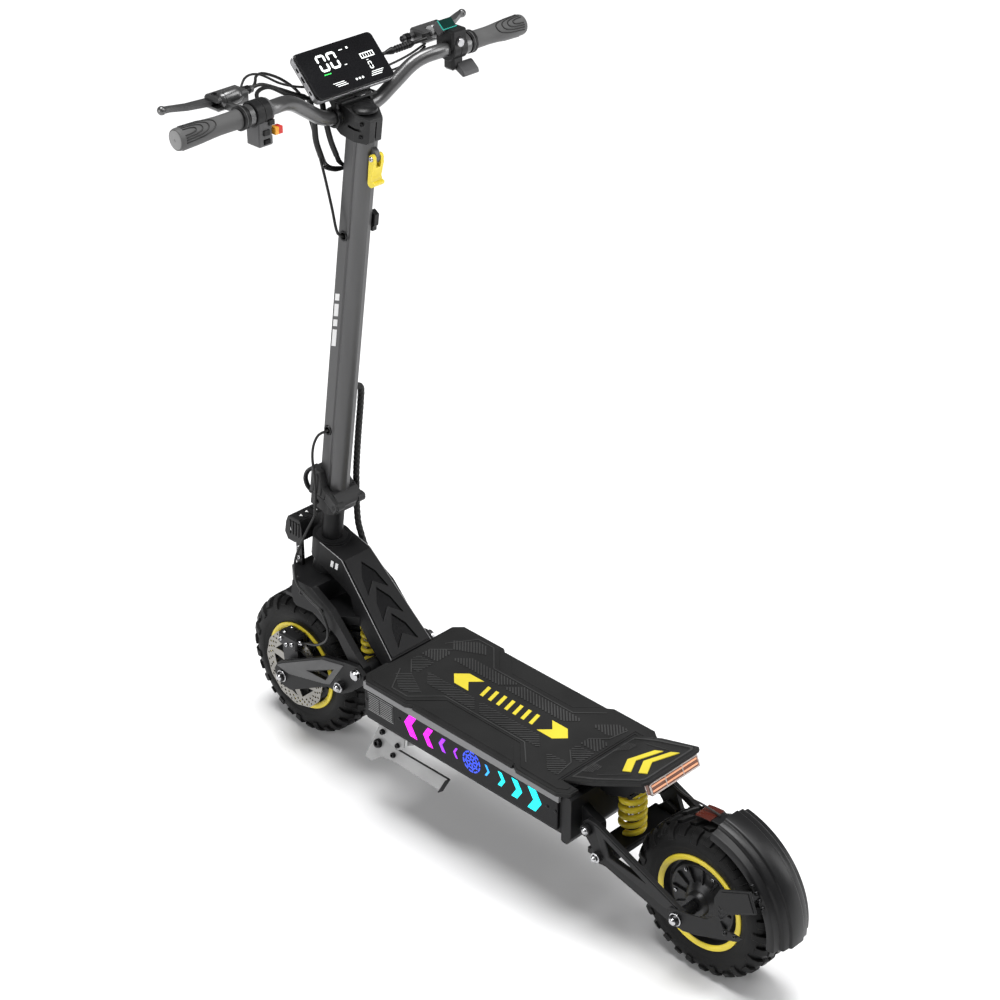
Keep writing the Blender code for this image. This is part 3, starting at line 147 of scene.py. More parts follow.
def surface(
    name,
    colour,
    rough,
    metal=0.0,
    fine=1200.0,
    relief=0.1,
    depth=0.0002,
    patch=16.0,
    spread=0.15,
    vary=0.06,
    coat=0.0,
    edge_wear_and_highlight=0.0,
    edge_wear_and_highlight_colour=0.25,
    stretch=(1, 1, 1),
    glow=0.0,
    clear=0.0,
    shine=0.3,
):
    """A Principled surface with patchy colour and roughness, fine relief, and edges lightened in patches:
    partly wear, partly a painted highlight.
    """
    made = bpy.data.materials.new(name)
    made.use_nodes = True
    tree = made.node_tree
    nodes, links = tree.nodes, tree.links
    shader = nodes["Principled BSDF"]
    shader.inputs["Metallic"].default_value = metal
    shader.inputs["Coat Weight"].default_value = coat
    shader.inputs["Coat Roughness"].default_value = 0.12
    shader.inputs["Transmission Weight"].default_value = clear
    shader.inputs["Specular IOR Level"].default_value = shine

    coords = nodes.new("ShaderNodeTexCoord")
    mapping = nodes.new("ShaderNodeMapping")
    mapping.inputs["Scale"].default_value = stretch
    links.new(coords.outputs["Object"], mapping.inputs["Vector"])
    broad = nodes.new("ShaderNodeTexNoise")
    broad.inputs["Scale"].default_value = patch
    broad.inputs["Detail"].default_value = 5
    small = nodes.new("ShaderNodeTexNoise")
    small.inputs["Scale"].default_value = fine
    small.inputs["Detail"].default_value = 3
    links.new(mapping.outputs["Vector"], broad.inputs["Vector"])
    links.new(mapping.outputs["Vector"], small.inputs["Vector"])

    mix = nodes.new("ShaderNodeMix")
    mix.data_type = "RGBA"
    spot = nodes.new("ShaderNodeMapRange")
    spot.inputs["From Min"].default_value = 0.32
    spot.inputs["From Max"].default_value = 0.68
    links.new(broad.outputs["Fac"], spot.inputs["Value"])
    links.new(spot.outputs["Result"], mix.inputs["Factor"])
    mix.inputs["A"].default_value = (*[c * (1 - spread) for c in colour], 1)
    mix.inputs["B"].default_value = (*[min(1, c * (1 + spread)) for c in colour], 1)
    last = mix.outputs["Result"]
    # Painted highlight, partly wear: edges found by the bevel node are lightened in patches towards a given
    # colour, in place of light catching them
    if edge_wear_and_highlight:
        bevel = nodes.new("ShaderNodeBevel")
        bevel.samples = 3
        bevel.inputs["Radius"].default_value = 0.0012
        geometry = nodes.new("ShaderNodeNewGeometry")
        turn = nodes.new("ShaderNodeVectorMath")
        turn.operation = "DOT_PRODUCT"
        links.new(bevel.outputs["Normal"], turn.inputs[0])
        links.new(geometry.outputs["Normal"], turn.inputs[1])
        edge = nodes.new("ShaderNodeMapRange")
        edge.inputs["From Min"].default_value = 0.985
        edge.inputs["From Max"].default_value = 0.86
        edge.inputs["To Max"].default_value = edge_wear_and_highlight
        links.new(turn.outputs["Value"], edge.inputs["Value"])
        edge_lightening = nodes.new("ShaderNodeMath")
        edge_lightening.operation = "MULTIPLY"
        links.new(edge.outputs["Result"], edge_lightening.inputs[0])
        links.new(spot.outputs["Result"], edge_lightening.inputs[1])
        edge_lightened = nodes.new("ShaderNodeMix")
        edge_lightened.data_type = "RGBA"
        links.new(edge_lightening.outputs["Value"], edge_lightened.inputs["Factor"])
        links.new(last, edge_lightened.inputs["A"])
        edge_lightened.inputs["B"].default_value = (*(edge_wear_and_highlight_colour if isinstance(edge_wear_and_highlight_colour, tuple) else (edge_wear_and_highlight_colour,) * 3), 1)
        last = edge_lightened.outputs["Result"]
    links.new(last, shader.inputs["Base Color"])

    polish = nodes.new("ShaderNodeMapRange")
    polish.inputs["To Min"].default_value = max(0.02, rough - vary)
    polish.inputs["To Max"].default_value = min(1, rough + vary)
    links.new(broad.outputs["Fac"], polish.inputs["Value"])
    links.new(polish.outputs["Result"], shader.inputs["Roughness"])

    bump = nodes.new("ShaderNodeBump")
    bump.inputs["Strength"].default_value = relief
    bump.inputs["Distance"].default_value = depth
    links.new(small.outputs["Fac"], bump.inputs["Height"])
    links.new(bump.outputs["Normal"], shader.inputs["Normal"])
    if glow:
        shader.inputs["Emission Color"].default_value = (*colour, 1)
        shader.inputs["Emission Strength"].default_value = glow
    return made


# Edges lightened on these surfaces are partly wear and partly a painted highlight; on the tyre they paint
# the glint on the lug edges
PAINT = surface("powder_coat_black", (0.009, 0.009, 0.0095), 0.42,
                fine=1500, relief=0.22, edge_wear_and_highlight=0.45, edge_wear_and_highlight_colour=0.1, shine=0.16)
FACE = surface("satin_dark_grey", (0.085, 0.085, 0.086), 0.46,
               metal=0.1, fine=1500, relief=0.18, edge_wear_and_highlight=0.4, edge_wear_and_highlight_colour=0.16)
STEM_GREY = surface("anodised_dark_grey", (0.09, 0.09, 0.091), 0.36, metal=0.6,
                    fine=1800, relief=0.1, stretch=(1, 1, 0.05), edge_wear_and_highlight=0.4, edge_wear_and_highlight_colour=0.2)
CAST_GREY = surface("cast_dark_grey", (0.022, 0.022, 0.0225), 0.4,
                    metal=0.3, fine=900, relief=0.25, edge_wear_and_highlight=0.45, edge_wear_and_highlight_colour=0.2)
ALLOY = surface("dark_alloy", (0.028, 0.028, 0.029), 0.34, metal=0.5,
                fine=1200, relief=0.12, edge_wear_and_highlight=0.5, edge_wear_and_highlight_colour=0.2)
BAR_COAT = surface("bar_gloss_black", (0.11, 0.11, 0.111), 0.3,
                   metal=0.7, fine=1200, relief=0.06, coat=0.25)
RAIL = surface("brushed_rail", (0.2, 0.2, 0.203), 0.4, metal=0.35, fine=900,
               relief=0.3, stretch=(1, 0.02, 1), edge_wear_and_highlight=0.3, edge_wear_and_highlight_colour=0.7)
ARM_DARK = surface("satin_black_face", (0.014, 0.014, 0.0145), 0.42,
                   fine=1500, relief=0.18, edge_wear_and_highlight=0.5, edge_wear_and_highlight_colour=0.09, shine=0.18)
STAND_GREY = surface("satin_light_grey", (0.3, 0.3, 0.3), 0.38, metal=0.4,
                     fine=1300, relief=0.15, edge_wear_and_highlight=0.3, edge_wear_and_highlight_colour=0.5)
SILVER = surface("brushed_silver", (0.45, 0.45, 0.46), 0.3, metal=0.7, fine=1300, relief=0.1)
CHROME = surface("bolt_chrome", (0.42, 0.42, 0.43), 0.16, metal=1.0, fine=700, relief=0.05, vary=0.05)
STEEL = surface("disc_steel", (0.3, 0.29, 0.27), 0.36, metal=1.0, fine=1600, relief=0.3, spread=0.2)
BLACK_BOLT = surface("black_oxide", (0.02, 0.02, 0.021), 0.28, metal=0.7, fine=900, relief=0.1)
TYRE = surface("tyre_rubber", (0.006, 0.006, 0.006), 0.46, fine=1100, relief=0.35,
               depth=0.0003, patch=30, spread=0.3, vary=0.1, edge_wear_and_highlight=0.4, edge_wear_and_highlight_colour=0.05, shine=0.12)
MAT = surface("mat_rubber", (0.012, 0.012, 0.012), 0.6, fine=1500, relief=0.5,
              depth=0.0003, spread=0.15, edge_wear_and_highlight=0.4, edge_wear_and_highlight_colour=0.06, shine=0.2)
# The mat's own rubber made lighter, so raised ridges read as lit against shaded grooves: painted light
MAT_RIDGE_PAINTED_LIGHT = surface("mat_ridge_rubber_painted_light", (0.03, 0.03, 0.03), 0.55, fine=1500,
                    relief=0.4, depth=0.0003, edge_wear_and_highlight=0.4, edge_wear_and_highlight_colour=0.09)
GRIP = surface("grip_rubber", (0.085, 0.085, 0.085), 0.5, fine=1300, relief=0.35, edge_wear_and_highlight=0.4, edge_wear_and_highlight_colour=0.2)
CAP_GREY = surface("cap_light_grey", (0.22, 0.22, 0.22), 0.42, fine=1300, relief=0.15)
GRIP_DARK = surface("grip_rubber_dark", (0.02, 0.02, 0.02), 0.5, fine=1300, relief=0.3)
PLASTIC = surface("moulded_black", (0.01, 0.01, 0.0105), 0.34, fine=1000,
                  relief=0.35, edge_wear_and_highlight=0.35, edge_wear_and_highlight_colour=0.1, shine=0.22)
GREY_PLASTIC = surface("moulded_grey", (0.085, 0.085, 0.087), 0.42,
                       fine=1100, relief=0.3, edge_wear_and_highlight=0.3, edge_wear_and_highlight_colour=0.2)
GLOSS = surface("gloss_black", (0.004, 0.004, 0.0045), 0.25, fine=1400, relief=0.12, vary=0.04, shine=0.12)
SCREEN = surface("screen_black", (0.004, 0.004, 0.005), 0.22, fine=400, relief=0.01, vary=0.03)
YELLOW = surface("gloss_yellow", (0.78, 0.62, 0.04), 0.36, fine=900, relief=0.08,
                 coat=0.2, spread=0.06, edge_wear_and_highlight=0.3, edge_wear_and_highlight_colour=(0.9, 0.8, 0.3))
YELLOW_PRINT = surface("print_yellow", (0.6, 0.5, 0.035), 0.55, fine=1500, relief=0.4, spread=0.08)
WHITE_PRINT = surface("print_white", (0.75, 0.75, 0.75), 0.5, fine=1500, relief=0.2, spread=0.06)
LABEL_WHITE = surface("label_print", (0.32, 0.32, 0.32), 0.5, fine=1500, relief=0.2)
CABLE = surface("cable_sheath", (0.012, 0.012, 0.012), 0.38, fine=1400, relief=0.2, spread=0.2)
BRAID = surface("braided_sleeve", (0.014, 0.014, 0.014), 0.55,
                fine=2200, relief=0.6, depth=0.0004, edge_wear_and_highlight=0.3, edge_wear_and_highlight_colour=0.06)
RED = surface("switch_red", (0.62, 0.03, 0.02), 0.35, fine=900, relief=0.1, coat=0.2)
ORANGE = surface("switch_orange", (0.8, 0.36, 0.03), 0.35, fine=900, relief=0.1, coat=0.2)
# An emitting teal for the throttle glass's edges: a painted glint, as the glass is no lamp
TEAL_PAINTED_GLOW = surface("teal_edge_painted_glow", (0.02, 0.42, 0.34), 0.3, fine=900, relief=0.02, glow=0.25)
GREEN_GLASS = surface("green_glass", (0.002, 0.026, 0.021), 0.1, fine=300, relief=0.02, coat=0.6, vary=0.03)
BLUE_WRAP = surface("shrink_wrap_blue", (0.03, 0.1, 0.32), 0.4, fine=300, relief=0.3)
LENS = surface("clear_lens", (0.8, 0.82, 0.84), 0.1, fine=300, relief=0.02, clear=0.75, coat=0.3)
TAIL_LENS = surface("tail_lens", (0.88, 0.8, 0.76), 0.1, fine=500, relief=0.1, clear=0.55, coat=0.3)
TAIL_BODY = surface("tail_lamp_body", (0.16, 0.06, 0.035), 0.2, fine=700, relief=0.2, coat=0.5)
AMBER = surface("amber_strip", (0.78, 0.36, 0.2), 0.25, fine=900, relief=0.1, glow=0.15)
RED_LENS = surface("red_lens", (0.055, 0.01, 0.006), 0.22, fine=900, relief=0.1, coat=0.5)
LIT = surface("display_white", (0.85, 0.88, 0.86), 0.4, fine=900, relief=0.02, glow=0.9, spread=0.03)
LIT_GREEN = surface("display_green", (0.05, 0.7, 0.12), 0.4, fine=900, relief=0.02, glow=1.0, spread=0.03)
MAGENTA = surface("led_magenta", (0.9, 0.0, 0.85), 0.35, fine=900, relief=0.02, glow=1.1, spread=0.03)
VIOLET = surface("led_violet", (0.3, 0.02, 0.75), 0.35, fine=900, relief=0.02, glow=1.0, spread=0.03)
BLUE = surface("led_blue", (0.03, 0.07, 0.7), 0.35, fine=900, relief=0.02, glow=1.0, spread=0.03)
AZURE = surface("led_azure", (0.02, 0.32, 0.85), 0.35, fine=900, relief=0.02, glow=1.1, spread=0.03)
CYAN = surface("led_cyan", (0.0, 0.8, 0.9), 0.35, fine=900, relief=0.02, glow=1.1, spread=0.03)
FLOOR = surface("studio_floor", (0.86, 0.86, 0.865), 0.75, fine=60,
                relief=0.01, patch=1.5, spread=0.01, vary=0.03)

# ---------------------------------------------------------------- shapes


def prism(bm, outline, low, high, matrix):
    """A solid from an outline of (u, v) points, between two heights above its plane."""
    flat = [bm.verts.new(matrix @ Vector((u, v, low))) for u, v in outline]
    top = [bm.verts.new(matrix @ Vector((u, v, high))) for u, v in outline]
    bm.faces.new(flat[::-1])
    bm.faces.new(top)
    for i in range(len(outline)):
        j = (i + 1) % len(outline)
        bm.faces.new((flat[i], flat[j], top[j], top[i]))


def box(bm, low, high, matrix):
    (x0, y0, z0), (x1, y1, z1) = low, high
    prism(bm, [(x0, y0), (x1, y0), (x1, y1), (x0, y1)], z0, z1, matrix)


def turned(bm, profile, matrix, segments=48):
    """Turn a closed profile about the matrix's X axis.

    A point is (along, radius), or (along, radius, sides) for a polygon.
    """
    rings = []
    for point in profile:
        along, radius = point[:2]
        if radius == 0:
            rings.append([bm.verts.new(matrix @ Vector((along, 0, 0)))] * segments)
            continue
        ring = []
        for i in range(segments):
            angle = 2 * pi * i / segments
            size = radius
            if len(point) > 2:
                part = 2 * pi / point[2]
                size = radius * cos(part / 2) / cos((angle % part) - part / 2)
            ring.append(bm.verts.new(matrix @ Vector((along, size * cos(angle), size * sin(angle)))))
        rings.append(ring)
    for ring, after in zip(rings, rings[1:] + rings[:1]):
        for i in range(segments):
            j = (i + 1) % segments
            corners = list(dict.fromkeys((ring[i], ring[j], after[j], after[i])))
            if len(corners) > 2:
                bm.faces.new(corners)


def toward(point, direction):
    """A frame at a point whose X axis looks along the direction."""
    direction = Vector(direction).normalized()
    side = Vector((0, 0, 1)) if abs(direction.z) < 0.9 else Vector((0, 1, 0))
    across = side.cross(direction).normalized()
    up = direction.cross(across)
    return Matrix.Translation(point) @ Matrix((direction, across, up)).transposed().to_4x4()


def smooth(points, spacing):
    """Points at an even spacing on a Catmull-Rom curve through the given points."""
    points = [Vector(p) for p in points]
    padded = [2 * points[0] - points[1], *points, 2 * points[-1] - points[-2]]
    fine = []
    for a, b, c, d in zip(padded, padded[1:], padded[2:], padded[3:]):
        for k in range(16):
            t = k / 16
            pull = 2 * b + (c - a) * t + (2 * a - 5 * b + 4 * c - d) * t**2 + (3 * b - a - 3 * c + d) * t**3
            fine.append(pull / 2)
    fine.append(points[-1])
    total = sum((q - p).length for p, q in zip(fine, fine[1:]))
    count = max(2, round(total / spacing))
    made, travelled = [fine[0]], 0
    for p, q in zip(fine, fine[1:]):
        length = (q - p).length
        while len(made) < count and travelled + length >= total * len(made) / count:
            made.append(p.lerp(q, (total * len(made) / count - travelled) / max(length, 1e-9)))
        travelled += length
    made.append(fine[-1])
    return made


def tube(bm, path, radius, sides=12):
    """A tube along a path, on frames that don't twist. radius is a number or a function of (index, side)."""
    path = [Vector(p) for p in path]
    heading = (path[1] - path[0]).normalized()
    side = heading.orthogonal().normalized()
    rings = []
    for i, point in enumerate(path):
        ahead = (path[min(i + 1, len(path) - 1)] - path[max(i - 1, 0)]).normalized()
        side = (side - ahead * side.dot(ahead)).normalized()
        other = ahead.cross(side)
        ring = []
        for k in range(sides):
            angle = 2 * pi * k / sides
            size = radius(i, k) if callable(radius) else radius
            ring.append(bm.verts.new(point + (side * cos(angle) + other * sin(angle)) * size))
        rings.append(ring)
    for ring, after in zip(rings, rings[1:]):
        for k in range(sides):
            m = (k + 1) % sides
            bm.faces.new((ring[k], ring[m], after[m], after[k]))
    bm.faces.new(rings[0][::-1])
    bm.faces.new(rings[-1])


def face_out(bm):
    """Point every closed shell's faces outwards."""
    bmesh.ops.recalc_face_normals(bm, faces=bm.faces)
    bm.faces.ensure_lookup_table()
    seen = set()
    for face in bm.faces:
        if face.index in seen:
            continue
        shell, stack = [], [face]
        seen.add(face.index)
        while stack:
            current = stack.pop()
            shell.append(current)
            for edge in current.edges:
                for other in edge.link_faces:
                    if other.index not in seen:
                        seen.add(other.index)
                        stack.append(other)
        volume = 0.0
        for part in shell:
            corners = [loop.vert.co for loop in part.loops]
            for b, c in zip(corners[1:], corners[2:]):
                volume += corners[0].dot(b.cross(c))
        if volume < 0:
            bmesh.ops.reverse_faces(bm, faces=shell)


def round_edges(made, width, segments, angle):
    rounding = made.modifiers.new("edges", "BEVEL")
    rounding.width = width
    rounding.segments = segments
    rounding.limit_method = "ANGLE"
    rounding.angle_limit = radians(angle)
    rounding.harden_normals = True


def piece(name, bm, body, material, bevel=0.0, segments=2, replaces=(), slot=None, angle=35):
    """A finished piece that rides on a body, with rounded edges where bevel is above 0."""
    bm.faces.index_update()
    face_out(bm)
    mesh = bpy.data.meshes.new(name)
    bm.to_mesh(mesh)
    bm.free()
    mesh.materials.append(material)
    mesh.shade_smooth()
    made = bpy.data.objects.new(name, mesh)
    scene.collection.objects.link(made)
    if bevel:
        round_edges(made, bevel, segments, angle)
    else:
        mesh.set_sharp_from_angle(angle=radians(angle))
    if body:
        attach(made, body)
    for node in replaces:
        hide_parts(node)
    if replaces or slot:
        slot or SLOTS[replaces[0]]
    return made


def refine(node, material, bevel=0.0012, segments=3, *, name, angle=32):
    """Stand a copy of a CAD solid in for it, with its flat faces whole and its hard edges rounded."""
    source = NODES[node]
    bm = bmesh.new()
    bm.from_mesh(source.data)
    bmesh.ops.remove_doubles(bm, verts=bm.verts, dist=2e-6)
    bmesh.ops.dissolve_limit(bm, angle_limit=radians(1.0), verts=bm.verts, edges=bm.edges)
    made = piece(name, bm, source["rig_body"], material, 0, replaces=[node], angle=angle)
    if bevel:
        round_edges(made, bevel, segments, angle)
        made.data.shade_smooth()
    return made


def carve(made, cutters):
    """Cut the cutters' closed shells out of a piece, before its edges are rounded."""
    face_out(cutters)
    mesh = bpy.data.meshes.new("cutters")
    cutters.to_mesh(mesh)
    cutters.free()
    tool = bpy.data.objects.new("cutters", mesh)
    scene.collection.objects.link(tool)
    step = made.modifiers.new("cut", "BOOLEAN")
    step.operation = "DIFFERENCE"
    step.solver = "EXACT"
    step.use_self = True
    step.object = tool
    bpy.context.view_layer.update()
    result = bpy.data.meshes.new_from_object(made.evaluated_get(bpy.context.evaluated_depsgraph_get()))
    made.modifiers.remove(step)
    made.data = result
    bpy.data.objects.remove(tool)


def new():
    return bmesh.new()


def mirrored(half):
    """A whole outline from its half at positive x."""
    return half + [(-x, y) for x, y in reversed(half)]


def screw(bm, point, direction, radius, height, sides=6):
    """A button head with a socket."""
    socket = radius * 0.48
    profile = [
        (height * 0.45, 0),
        (height * 0.45, socket, sides),
        (height, socket, sides),
        (height, radius * 0.66),
        (height * 0.86, radius * 0.86),
        (height * 0.35, radius),
        (-0.001, radius),
        (-0.001, 0),
    ]
    turned(bm, profile, toward(point, direction), 24)


def dome_nut(bm, point, direction, radius, height):
    """A washer, a hexagon and a dome, as on an axle's end."""
    profile = [
        (height, 0),
        (height * 0.985, radius * 0.22),
        (height * 0.93, radius * 0.42),
        (height * 0.8, radius * 0.62),
        (height * 0.62, radius * 0.72),
        (height * 0.6, radius * 0.9, 6),
        (height * 0.22, radius * 0.9, 6),
        (height * 0.2, radius * 1.05),
        (height * 0.16, radius * 1.16),
        (0.0, radius * 1.16),
        (-0.001, 0),
    ]
    turned(bm, profile, toward(point, direction), 36)


def recolour(node, material):
    """Give a CAD solid that is shown as it is a finished material."""
    data = NODES[node].data
    data.materials.clear()
    data.materials.append(material)


# ---------------------------------------------------------------- floor

floor = new()
prism(floor, [(-9, -9), (9, -9), (9, 9), (-9, 9)], -0.02, -0.0005, Matrix.Identity(4))
piece("floor", floor, None, FLOOR)

# ---------------------------------------------------------------- wheels


def lug(bm, inner, outer, angle, half, centre, skew=0.0, taper=0.84):
    """A tread block: a strip between two rows of (x, radius) points, as wide as the angle says."""
    grid = []
    for side in (-1, 1):
        rows = []
        for row, share in ((inner, 1.0), (outer, taper)):
            line = []
            for k, (x, r) in enumerate(row):
                a = angle + side * half * share + skew * (k / (len(row) - 1) - 0.5)
                line.append(bm.verts.new(centre + Vector((x, r * cos(a), r * sin(a)))))
            rows.append(line)
        grid.append(rows)
    (low_in, low_out), (high_in, high_out) = grid
    count = len(inner)
    for k in range(count - 1):
        bm.faces.new((low_in[k], low_in[k + 1], low_out[k + 1], low_out[k]))
        bm.faces.new((high_in[k], high_out[k], high_out[k + 1], high_in[k + 1]))
        bm.faces.new((low_out[k], low_out[k + 1], high_out[k + 1], high_out[k]))
        bm.faces.new((low_in[k], high_in[k], high_in[k + 1], low_in[k + 1]))
    for k in (0, -1):
        bm.faces.new((low_in[k], low_out[k], high_out[k], high_in[k]))


def knobbly_tyre(name, centre, body, node):
    half = [
        (0.0205, 0.0728), (0.0285, 0.0728), (0.0325, 0.0762), (0.0357, 0.0795), (0.0372, 0.085),
        (0.0386, 0.09), (0.0388, 0.0915), (0.0394, 0.0925), (0.0398, 0.097), (0.0397, 0.103),
        (0.0387, 0.108), (0.0366, 0.1128), (0.033, 0.1172), (0.028, 0.12), (0.02, 0.1216),
        (0.01, 0.1223),
    ]
    inside = [(0.02, 0.0765), (0.031, 0.098), (0.023, 0.115)]
    profile = mirrored(half) + [(-x, r) for x, r in inside] + inside[::-1]
    bm = new()
    turned(bm, profile, Matrix.Translation(centre), 120)
    count = 30
    for i in range(count):
        for s in (1, -1):
            angle = 2 * pi * (i + (0.5 if s < 0 else 0)) / count
            long_one = i % 2 == 0
            shoulder_in = [(s * 0.025, 0.1195), (s * 0.032, 0.1165),
                           (s * 0.0365, 0.111), (s * 0.0385, 0.104)]
            shoulder_out = [(s * 0.0255, 0.1268), (s * 0.035, 0.1222),
                            (s * 0.0405, 0.1135), (s * 0.0415, 0.104)]
            if not long_one:
                shoulder_in, shoulder_out = shoulder_in[:3], shoulder_out[:3]
            lug(bm, shoulder_in, shoulder_out, angle, radians(3.5), centre, skew=s * radians(1.5))
            middle_in = [(s * 0.003, 0.1205), (s * 0.012, 0.12), (s * 0.0215, 0.119)]
            middle_out = [(s * 0.0035, 0.1277), (s * 0.012, 0.1277), (s * 0.021, 0.127)]
            lug(bm, middle_in, middle_out, angle + radians(6), radians(3.2), centre, skew=s * radians(5.0))
    piece(name, bm, body, TYRE, bevel=0.0007, segments=1, replaces=[node], angle=40)


def ring_trim(name, centre, body, side, slot):
    """The yellow ring on the rim's flange."""
    bm = new()
    x = side * 0.0345
    profile = [(x, 0.07), (x +
    side *
    0.0008, 0.0697), (x +
    side *
    0.0022, 0.0706), (x +
    side *
    0.0032, 0.073), (x +
    side *
    0.0034, 0.0765), (x +
    side *
    0.0026, 0.079), (x +
    side *
     0.001, 0.0797), (x, 0.079)]
    turned(bm, profile, Matrix.Translation(centre), 120)
    piece(name, bm, body, YELLOW, slot=slot)


def front_wheel():
    centre = place(0, 0, TYRE_RADIUS)
    knobbly_tyre("tyre_front", centre, "front_wheel", "front_tyre")
    for side, word in SIDES:
        ring_trim(f"rim_ring_front_{word}", centre, "front_wheel", side, "yellow")
    bm = new()
    half = [
        (0.0475, 0.007), (0.048, 0.008), (0.048, 0.019), (0.047, 0.02), (0.031, 0.0218), (0.023, 0.026),
        (0.02, 0.044), (0.021, 0.056), (0.024, 0.064), (0.03, 0.069), (0.0345, 0.07), (0.035, 0.0735),
        (0.035, 0.0776), (0.034, 0.0777), (0.0288, 0.0722), (0.02, 0.0718), (0.008, 0.068),
    ]
    right = [(-x if x < 0.046 else -0.045, r) for x, r in reversed(half)]
    turned(bm, half + right, Matrix.Translation(centre), 96)
    piece("rim_front", bm, "front_wheel", ALLOY, replaces=["front_rim"])
    hub_detail("hub_front", centre, "front_wheel", 0.0205, 0.06, 0.029)


def hub_detail(name, centre, body, floor_x, outer, inner):
    """Ribs and bolts on both faces of a cast hub."""
    ribs, bolts = new(), new()
    for s in (1, -1):
        for k in range(12):
            angle = 2 * pi * k / 12
            turn = Matrix.Translation(centre) @ Matrix.Rotation(angle, 4, "X")
            box(ribs, (s * floor_x - 0.0012, inner, -0.0011), (s * floor_x + s * 0.004, outer, 0.0011), turn)
            if k % 2 == 0:
                point = turn @ Vector((s * (floor_x + 0.0003), (inner + outer) / 2 + 0.008, 0.0085))
                screw(bolts, point, (s, 0, 0), 0.0032, 0.0024)
    piece(f"{name}_ribs", ribs, body, ALLOY, bevel=0.0006, segments=1)
    piece(f"{name}_bolts", bolts, body, CHROME)


def rotor():
    centre = place(0, 0, TYRE_RADIUS)
    bm = new()
    outline = []
    for k in range(180):
        angle = 2 * pi * k / 180
        outline.append((0.0692 + 0.0009 * cos(angle * 12), angle))
    across = Matrix.Translation(centre) @ SIDEWAYS
    prism(bm, [(r * cos(a), r * sin(a)) for r, a in outline], 0.0501, 0.0519, across)
    up = Matrix.Rotation(-pi / 2, 4, "Y")
    holes = new()
    turned(holes, [(0.045, 0), (0.045, 0.0187), (0.06, 0.0187), (0.06, 0)], Matrix.Translation(centre), 48)
    for k in range(6):
        angle = 2 * pi * k / 6
        window = []
        for r, spread in ((0.027, 0.24), (0.04, 0.34), (0.0515, 0.4)):
            window.append((r, angle - spread + (r - 0.027) * 9))
        for r, spread in ((0.0515, 0.4), (0.04, 0.34), (0.027, 0.24)):
            window.append((r, angle + spread + (r - 0.027) * 9))
        prism(holes, [(r * cos(a), r * sin(a)) for r, a in window], 0.045, 0.06, across)
    for row, (r, size) in enumerate(((0.056, 0.0019), (0.0607, 0.0021), (0.0655, 0.0019))):
        for k in range(30):
            angle = 2 * pi * (k + row / 3) / 30
            drill = across @ Matrix.Translation((r * cos(angle), r * sin(angle), 0.045)) @ up
            turned(holes, [(0, 0), (0, size), (0.015, size), (0.015, 0)], drill, 8)
    made = piece("brake_disc", bm, "front_wheel", STEEL, replaces=["front_rotor"], angle=30)
    carve(made, holes)
    bolts = new()
    for k in range(6):
        angle = 2 * pi * (k + 0.5) / 6
        point = centre + Vector((0.0519, 0.0225 * cos(angle), 0.0225 * sin(angle)))
        screw(bolts, point, (1, 0, 0), 0.003, 0.0018)
    piece("brake_disc_bolts", bolts, "front_wheel", CHROME)


def rear_wheel():
    centre = place(0, WHEELBASE, TYRE_RADIUS)
    knobbly_tyre("tyre_rear", centre, "rear_wheel", "rear_tyre")
    for side, word in SIDES:
        ring_trim(f"rim_ring_rear_{word}", centre, "rear_wheel", side, "yellow")
    half = [
        (0.0458, 0.007), (0.046, 0.008), (0.046, 0.017), (0.045, 0.018), (0.0375, 0.0205),
        (0.035, 0.026), (0.03, 0.03), (0.0285, 0.034), (0.0275, 0.052), (0.0295, 0.056), (0.029, 0.059),
        (0.023, 0.064), (0.023, 0.068), (0.03, 0.07), (0.0345, 0.0702), (0.035, 0.0735),
        (0.035, 0.0776), (0.034, 0.0777), (0.0288, 0.0722), (0.02, 0.0718),
    ]
    bm = new()
    turned(bm, mirrored(half), Matrix.Translation(centre), 96)
    piece("hub_motor", bm, "rear_wheel", ALLOY, replaces=["rear_hub_motor"])
    hub_detail("hub_rear", centre, "rear_wheel", 0.028, 0.056, 0.03)


def axle(node, name, body, centre, left, right):
    """The axle's shaft as the CAD has it, with real nuts on its ends."""
    refine(node, BLACK_BOLT, 0.0006, 2, name=name)
    bm = new()
    dome_nut(bm, centre + Vector((left, 0, 0)), (1, 0, 0), 0.0092, 0.011)
    dome_nut(bm, centre + Vector((-right, 0, 0)), (-1, 0, 0), 0.0092, 0.011)
    piece(f"{name}_nuts", bm, body, CHROME, bevel=0.0004, segments=2, angle=25)


front_wheel()
rotor()
rear_wheel()
axle("front_axle", "axle_front", "front_arm", place(0, 0, TYRE_RADIUS), 0.0792, 0.0792)
axle("rear_axle", "axle_rear", "rear_arm", place(0, WHEELBASE, TYRE_RADIUS), 0.0882, 0.0842)

# ---------------------------------------------------------------- swing arms


def arm_faces(name, body, outline, window, low, material):
    """A raised face with a triangular window on the outside of each arm plate."""
    for s, word in SIDES:
        bm = new()
        near, far = sorted((s * low, s * (low + 0.0012)))
        prism(bm, outline, near, far, SIDE)
        made = piece(f"{name}_{word}", bm, body, material, angle=30)
        hole = new()
        prism(hole, window, near - 0.003, far + 0.003, SIDE)
        carve(made, hole)
        rounding = made.modifiers.new("edges", "BEVEL")
        rounding.width = 0.0004
        rounding.segments = 1


